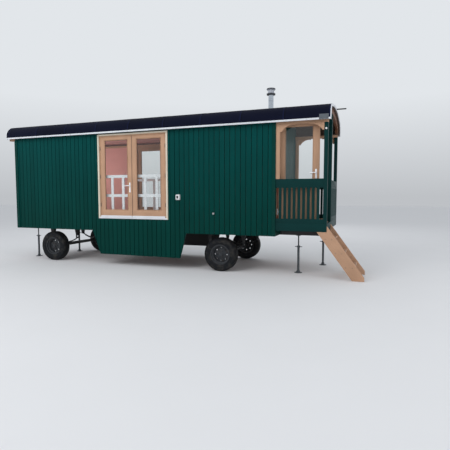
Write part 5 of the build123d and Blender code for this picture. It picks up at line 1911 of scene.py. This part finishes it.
class HUT_OT_chimney(Operator):
    """Makes the stove pipe with its seam and storm collar, the cowl and the lead flashing"""

    bl_idname = "hut.chimney"
    bl_label = "Stove pipe"

    def execute(self, context):
        scene = context.scene
        low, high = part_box("chimney_pipe")
        centre = (low + high) / 2
        place_at = Matrix.Translation((centre.x, centre.y, 0))
        radius = (high.x - low.x) / 2
        self.pipe(scene, place_at, radius, low.z, high.z)
        self.cowl(place_at, radius + COWL_FIT)
        self.collar(scene, place_at, radius)
        rework("lead_flashing", "chimney_flashing", lead(scene), "lead_sheet", METAL_EASE, grain=0)
        return {"FINISHED"}

    def pipe(self, scene, place_at, radius, low, high):
        """A pipe with two beads rolled round it and a folded seam up its back."""
        shape = Shape()
        profile = [(radius - PIPE_STEEL, low), (radius, low)]
        for rise in PIPE_BEADS:
            profile += [(radius + proud, ROOF_TOP + rise + z) for proud, z in in_mm(*PIPE_BEAD)]
        profile += [(radius, high), (radius - PIPE_STEEL, high)]
        shape.turned(profile, place_at, 64, closed=True)
        x = place_at.translation.x
        back = place_at.translation.y + radius
        shape.bar(
            (x - SEAM_HALF, x + SEAM_HALF), (back - 0.001, back + 0.002),
            (ROOF_TOP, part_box("chimney_cowl")[0].z), THIN_EASE, 0,
        )
        show("stove_pipe", shape, stainless(scene), nodes=("chimney_pipe",))

    def cowl(self, place_at, inner):
        """A collar, a body with a ring of louvres and a shallow lid, their edges rolled."""
        low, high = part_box("chimney_cowl")
        outer = (high.x - low.x) / 2
        body = outer - COWL_STEP
        hollow = body - PIPE_STEEL
        ring, lid = low.z + COWL_RING, high.z - COWL_RING
        roll = COWL_ROLL
        rim, neck = outer - roll, outer - roll / 2
        profile = [
            (inner, low.z), (rim, low.z), (outer, low.z + roll), (neck, low.z + 2 * roll),
            (neck, ring - 2 * roll), (outer, ring - roll), (rim, ring), (body, ring), (body, lid),
            (rim, lid), (outer, lid + roll), (neck, lid + 2 * roll), (neck, high.z - 3 * roll),
            (outer - 2 * roll, high.z - roll), (outer * 0.5, high.z - roll / 2), (0, high.z),
            (0, high.z - PIPE_STEEL), (hollow, lid), (hollow, ring), (inner, ring),
        ]
        shape = Shape()
        shape.turned(profile, place_at, 64, closed=True)
        # Painted light: the collar and the lid take a dark copy of the steel, a painted dark reflection,
        # and the body and its louvres a pale copy, a painted reflection of the sky
        for number, face in enumerate(shape.faces):
            heights = [shape.points[point][2] for point in face]
            shape.finishes[number] = 0 if min(heights) > ring - roll and max(heights) < lid + roll else 1
        pale = material_of("pale_steel", metal_paint, linear("#C6CAD2"), 0.4, "#8A8F98", 0.3)
        dark_reflection_steel = material_of("smoked_steel", metal_paint, linear("#34373D"), 0.4, "#14110F", 0.6)
        deep = LOUVRE_DEPTH
        outline = ((-0.001, ring + deep), (deep, ring + 0.010), (deep, lid - 0.014), (-0.001, lid - deep))
        louvre = Shape()
        louvre.prism(outline, 1, -deep, deep)
        fins = grown(ring_tree, item=louvre, Count=COWL_LOUVRES, Radius=body, Turn=0.0, Material=pale)
        fins.polygons.foreach_set("material_index", [0] * len(fins.polygons))
        fins.transform(place_at)
        mesh = joined([shape.mesh(), fins])
        show("cowl", mesh, [pale, dark_reflection_steel], nodes=("chimney_cowl",))

    def collar(self, scene, place_at, radius):
        """A storm collar above the flashing, drawn tight by a screw."""
        shape = Shape()
        base = ROOF_TOP + COLLAR_RISE
        profile = [(radius + proud, base + rise) for proud, rise in in_mm(*COLLAR)]
        shape.turned(profile, place_at, 64, closed=True)
        x = place_at.translation.x
        near = place_at.translation.y - radius
        screw_z = (base + 0.004, base + 0.018)
        shape.bar((x - 0.012, x + 0.012), (near - 0.016, near - 0.003), screw_z, METAL_EASE, 0)
        show("storm_collar", shape, stainless(scene))


class HUT_OT_fittings(Operator):
    """Makes the hookup inlet, the wall vent and the rod on the crown of the roof"""

    bl_idname = "hut.fittings"
    bl_label = "Wall fittings"

    def execute(self, context):
        scene = context.scene
        points = node_points("wall_fittings")
        low, high = box_of(points)
        split = (low.x + high.x) / 2
        shape = Shape()
        self.inlet(shape, *box_of([point for point in points if point.x < split]))
        self.vent(shape, *box_of([point for point in points if point.x > split]))
        plastic = material_of("moulded_white_plastic", moulded_plastic, "#E6E7E8")
        finishes = [plastic, smoked_plastic(), trim_paint(scene)[1]]
        show("inlet_and_vent", shape, finishes, nodes=("wall_fittings",))
        iron = material_of("black_iron", metal_paint, linear("#0C0D0F"), 0.6, "#3A281D", 0.3)
        rework("crown_rod_iron", "crown_rod", [iron], "black_iron", METAL_EASE, grain=0)
        return {"FINISHED"}

    def inlet(self, shape, low, high):
        """A box with a hinged, hooded lid that has a dark window, and a rolled rim round its back."""
        rim, lip, step, face = INLET_RIM, INLET_LIP, INLET_STEP, low.y
        outline = (
            (high.y, low.z), (face + lip, low.z), (face, low.z + lip), (face, high.z - lip),
            (face + lip, high.z), (high.y, high.z),
        )
        shape.prism(outline, 0, low.x + rim, high.x - rim)
        shape.bar((low.x, high.x), (high.y - rim, high.y), (low.z - rim, high.z + rim), METAL_EASE, 0)
        x = (low.x + step + rim, high.x - step - rim)
        z = (low.z + 1.6 * step, high.z - 1.2 * step)
        shape.moulding(x, z, face, -1, in_mm(*INLET_FRAME), (0, 0, 0, 0))
        inset = INLET_WINDOW_INSET
        pane_x = (x[0] + inset, x[1] - inset)
        pane_z = (z[0] + inset, z[1] - inset)
        shape.bar(pane_x, (face - 0.0015, face + 0.001), pane_z, 0.0005, 1)
        along_x = Matrix.Rotation(math.radians(90), 4, "Y")
        for pin_x in (low.x + INLET_PINS[0], high.x - INLET_PINS[1]):
            pin = Matrix.Translation((pin_x, face + 0.002, high.z - 0.008)) @ along_x
            shape.turned(in_mm(*INLET_PIN), pin, 12)

    def vent(self, shape, low, high):
        """A round vent: a rim with a rounded edge and sloping slats across it."""
        centre = (low + high) / 2
        radius = (high.x - low.x) / 2
        depth = high.y - low.y
        back = looking(centre.x, -WALL_FACE, centre.z, -1)
        rim = radius * 0.2
        inner = radius - rim
        profile = (
            (inner, 0), (radius, 0), (radius, depth * 0.6), (radius - rim * 0.4, depth),
            (inner, depth * 0.9),
        )
        shape.turned(profile, back, 40, closed=True, finish=2)
        # A dark plate behind the slats: painted shade where the vent opens into the wall
        plate = ((0, 0.001), (inner, 0.001), (inner, 0.003), (0, 0.003))
        shape.turned(plate, back, 40, finish=1)
        near, far = -WALL_FACE - depth * 0.8, -WALL_FACE - depth * 0.2
        for rise in even_steps(-radius * 0.6, radius * 0.6, radius * 0.3):
            z = centre.z + rise
            half = math.sqrt(inner**2 - rise**2)
            outline = ((far, z + 0.003), (near, z - 0.002), (near, z - 0.004), (far, z + 0.001))
            shape.prism(outline, 0, centre.x - half, centre.x + half)


# Stage


class HUT_OT_stage(Operator):
    """Lays the pale floor, lights the hut softly and sets the camera"""

    bl_idname = "hut.stage"
    bl_label = "Stage"

    def execute(self, context):
        scene = context.scene
        sizes = scene.hut_stage
        scene.view_settings.view_transform = "Standard"
        self.floor(tuple(sizes.floor))
        self.world(scene, sizes)
        for name, power, size, place_at, aim in LAMPS:
            self.lamp(scene, name, power * sizes.key, size, place_at, aim)
        self.lamp(scene, "cabin", sizes.cabin, *CABIN_LAMP)
        self.camera(scene, sizes)
        return {"FINISHED"}

    def floor(self, pale):
        """A wide pale floor, matt and faintly uneven in tone."""
        plane = bpy.data.meshes.new("floor")
        corners = [(x * FLOOR_REACH, y * FLOOR_REACH, 0) for x, y in ((-1, -1), (1, -1), (1, 1), (-1, 1))]
        plane.from_pydata(corners, [], [(0, 1, 2, 3)])
        material, tree, spot = new_material("pale_floor")
        patches = drawn(tree, spot, 900, 2.0)
        dim = add(tree, "ShaderNodeHueSaturation", {"Color": pale, "Value": 0.97})
        coat(tree, {"Roughness": 0.9}, blended(tree, pale, dim, patches))
        plane.materials.append(material)
        linked("stage_floor", plane)

    def world(self, scene, sizes):
        """Even light from all round, with a plain pale backdrop for the camera, glass and gloss."""
        world = bpy.data.worlds.new("studio")
        scene.world = world
        world.use_nodes = True
        tree = world.node_tree
        tree.nodes.clear()
        light = add(tree, "ShaderNodeBackground", {"Color": SKY_TINT, "Strength": sizes.sky})
        way = add(tree, "ShaderNodeTexCoord").outputs["Generated"]
        up = add(tree, "ShaderNodeSeparateXYZ", {0: way}).outputs[2]
        backdrop = blended(tree, linear("#BEC1C5"), linear("#E2E6EA"), up, 0.0, 0.22)
        seen = add(tree, "ShaderNodeBackground", {"Color": backdrop, "Strength": 1.0})
        rays = add(tree, "ShaderNodeLightPath").outputs
        plain_rays = rays["Is Camera Ray"]
        for kind in ("Is Transmission Ray", "Is Glossy Ray"):
            plain_rays = add(tree, "ShaderNodeMath", {0: plain_rays, 1: rays[kind]}, operation="MAXIMUM")
        either = add(tree, "ShaderNodeMixShader", {0: plain_rays, 1: light, 2: seen})
        add(tree, "ShaderNodeOutputWorld", {0: either})

    def lamp(self, scene, name, power, size, place_at, aim):
        """A soft lamp that lights the hut but shows neither itself nor its reflection."""
        lamp = bpy.data.lights.new(name, "AREA")
        lamp.energy = power
        lamp.size = size
        holder = bpy.data.objects.new(name, lamp)
        holder.location = place_at
        holder.rotation_euler = (Vector(aim) - Vector(place_at)).to_track_quat("-Z", "Y").to_euler()
        holder.visible_camera = False
        holder.visible_glossy = False
        holder.visible_transmission = False
        scene.collection.objects.link(holder)

    def camera(self, scene, sizes):
        """The camera, at eye height off the porch corner, looking along the near side."""
        lens = bpy.data.cameras.new("camera")
        lens.lens = sizes.lens
        lens.sensor_width = SENSOR
        camera = bpy.data.objects.new("camera", lens)
        camera.location = CAMERA_AT
        camera.rotation_euler = (math.radians(90 - CAMERA_DROP), 0, math.radians(CAMERA_TURN))
        scene.collection.objects.link(camera)
        scene.camera = camera


OPERATORS = (
    HUT_OT_stage, HUT_OT_cladding, HUT_OT_roof, HUT_OT_windows, HUT_OT_door, HUT_OT_porch, HUT_OT_stair,
    HUT_OT_chassis, HUT_OT_wheels, HUT_OT_chimney, HUT_OT_fittings,
)
SETTINGS = {
    "hut_colours": HutColours, "hut_boards": HutBoards, "hut_roof": HutRoof, "hut_wheels": HutWheels,
    "hut_stage": HutStage,
}


class HUT_PT_sidebar(Panel):
    """Sizes, colours and steps of the hut"""

    bl_idname = "HUT_PT_sidebar"
    bl_label = "Shepherd's Hut"
    bl_space_type = "VIEW_3D"
    bl_region_type = "UI"
    bl_category = "Hut"

    def draw(self, context):
        layout = self.layout
        for name, group in SETTINGS.items():
            settings = getattr(context.scene, name)
            box = layout.box()
            box.label(text=group.__doc__)
            for key in group.__annotations__:
                box.prop(settings, key)
        for operator in OPERATORS:
            layout.operator(operator.bl_idname)


CLASSES = (*SETTINGS.values(), *OPERATORS, HUT_PT_sidebar)


def register():
    for item in CLASSES:
        bpy.utils.register_class(item)
    for name, group in SETTINGS.items():
        setattr(bpy.types.Scene, name, PointerProperty(type=group))


def unregister():
    for name in SETTINGS:
        delattr(bpy.types.Scene, name)
    for item in reversed(CLASSES):
        bpy.utils.unregister_class(item)


def main():
    register()
    bpy.ops.hut.stage()
    bpy.ops.hut.cladding()
    bpy.ops.hut.roof()
    bpy.ops.hut.windows()
    bpy.ops.hut.door()
    bpy.ops.hut.porch()
    bpy.ops.hut.stair()
    bpy.ops.hut.chassis()
    bpy.ops.hut.wheels()
    bpy.ops.hut.chimney()
    bpy.ops.hut.fittings()


if __name__ == "__main__":
    main()
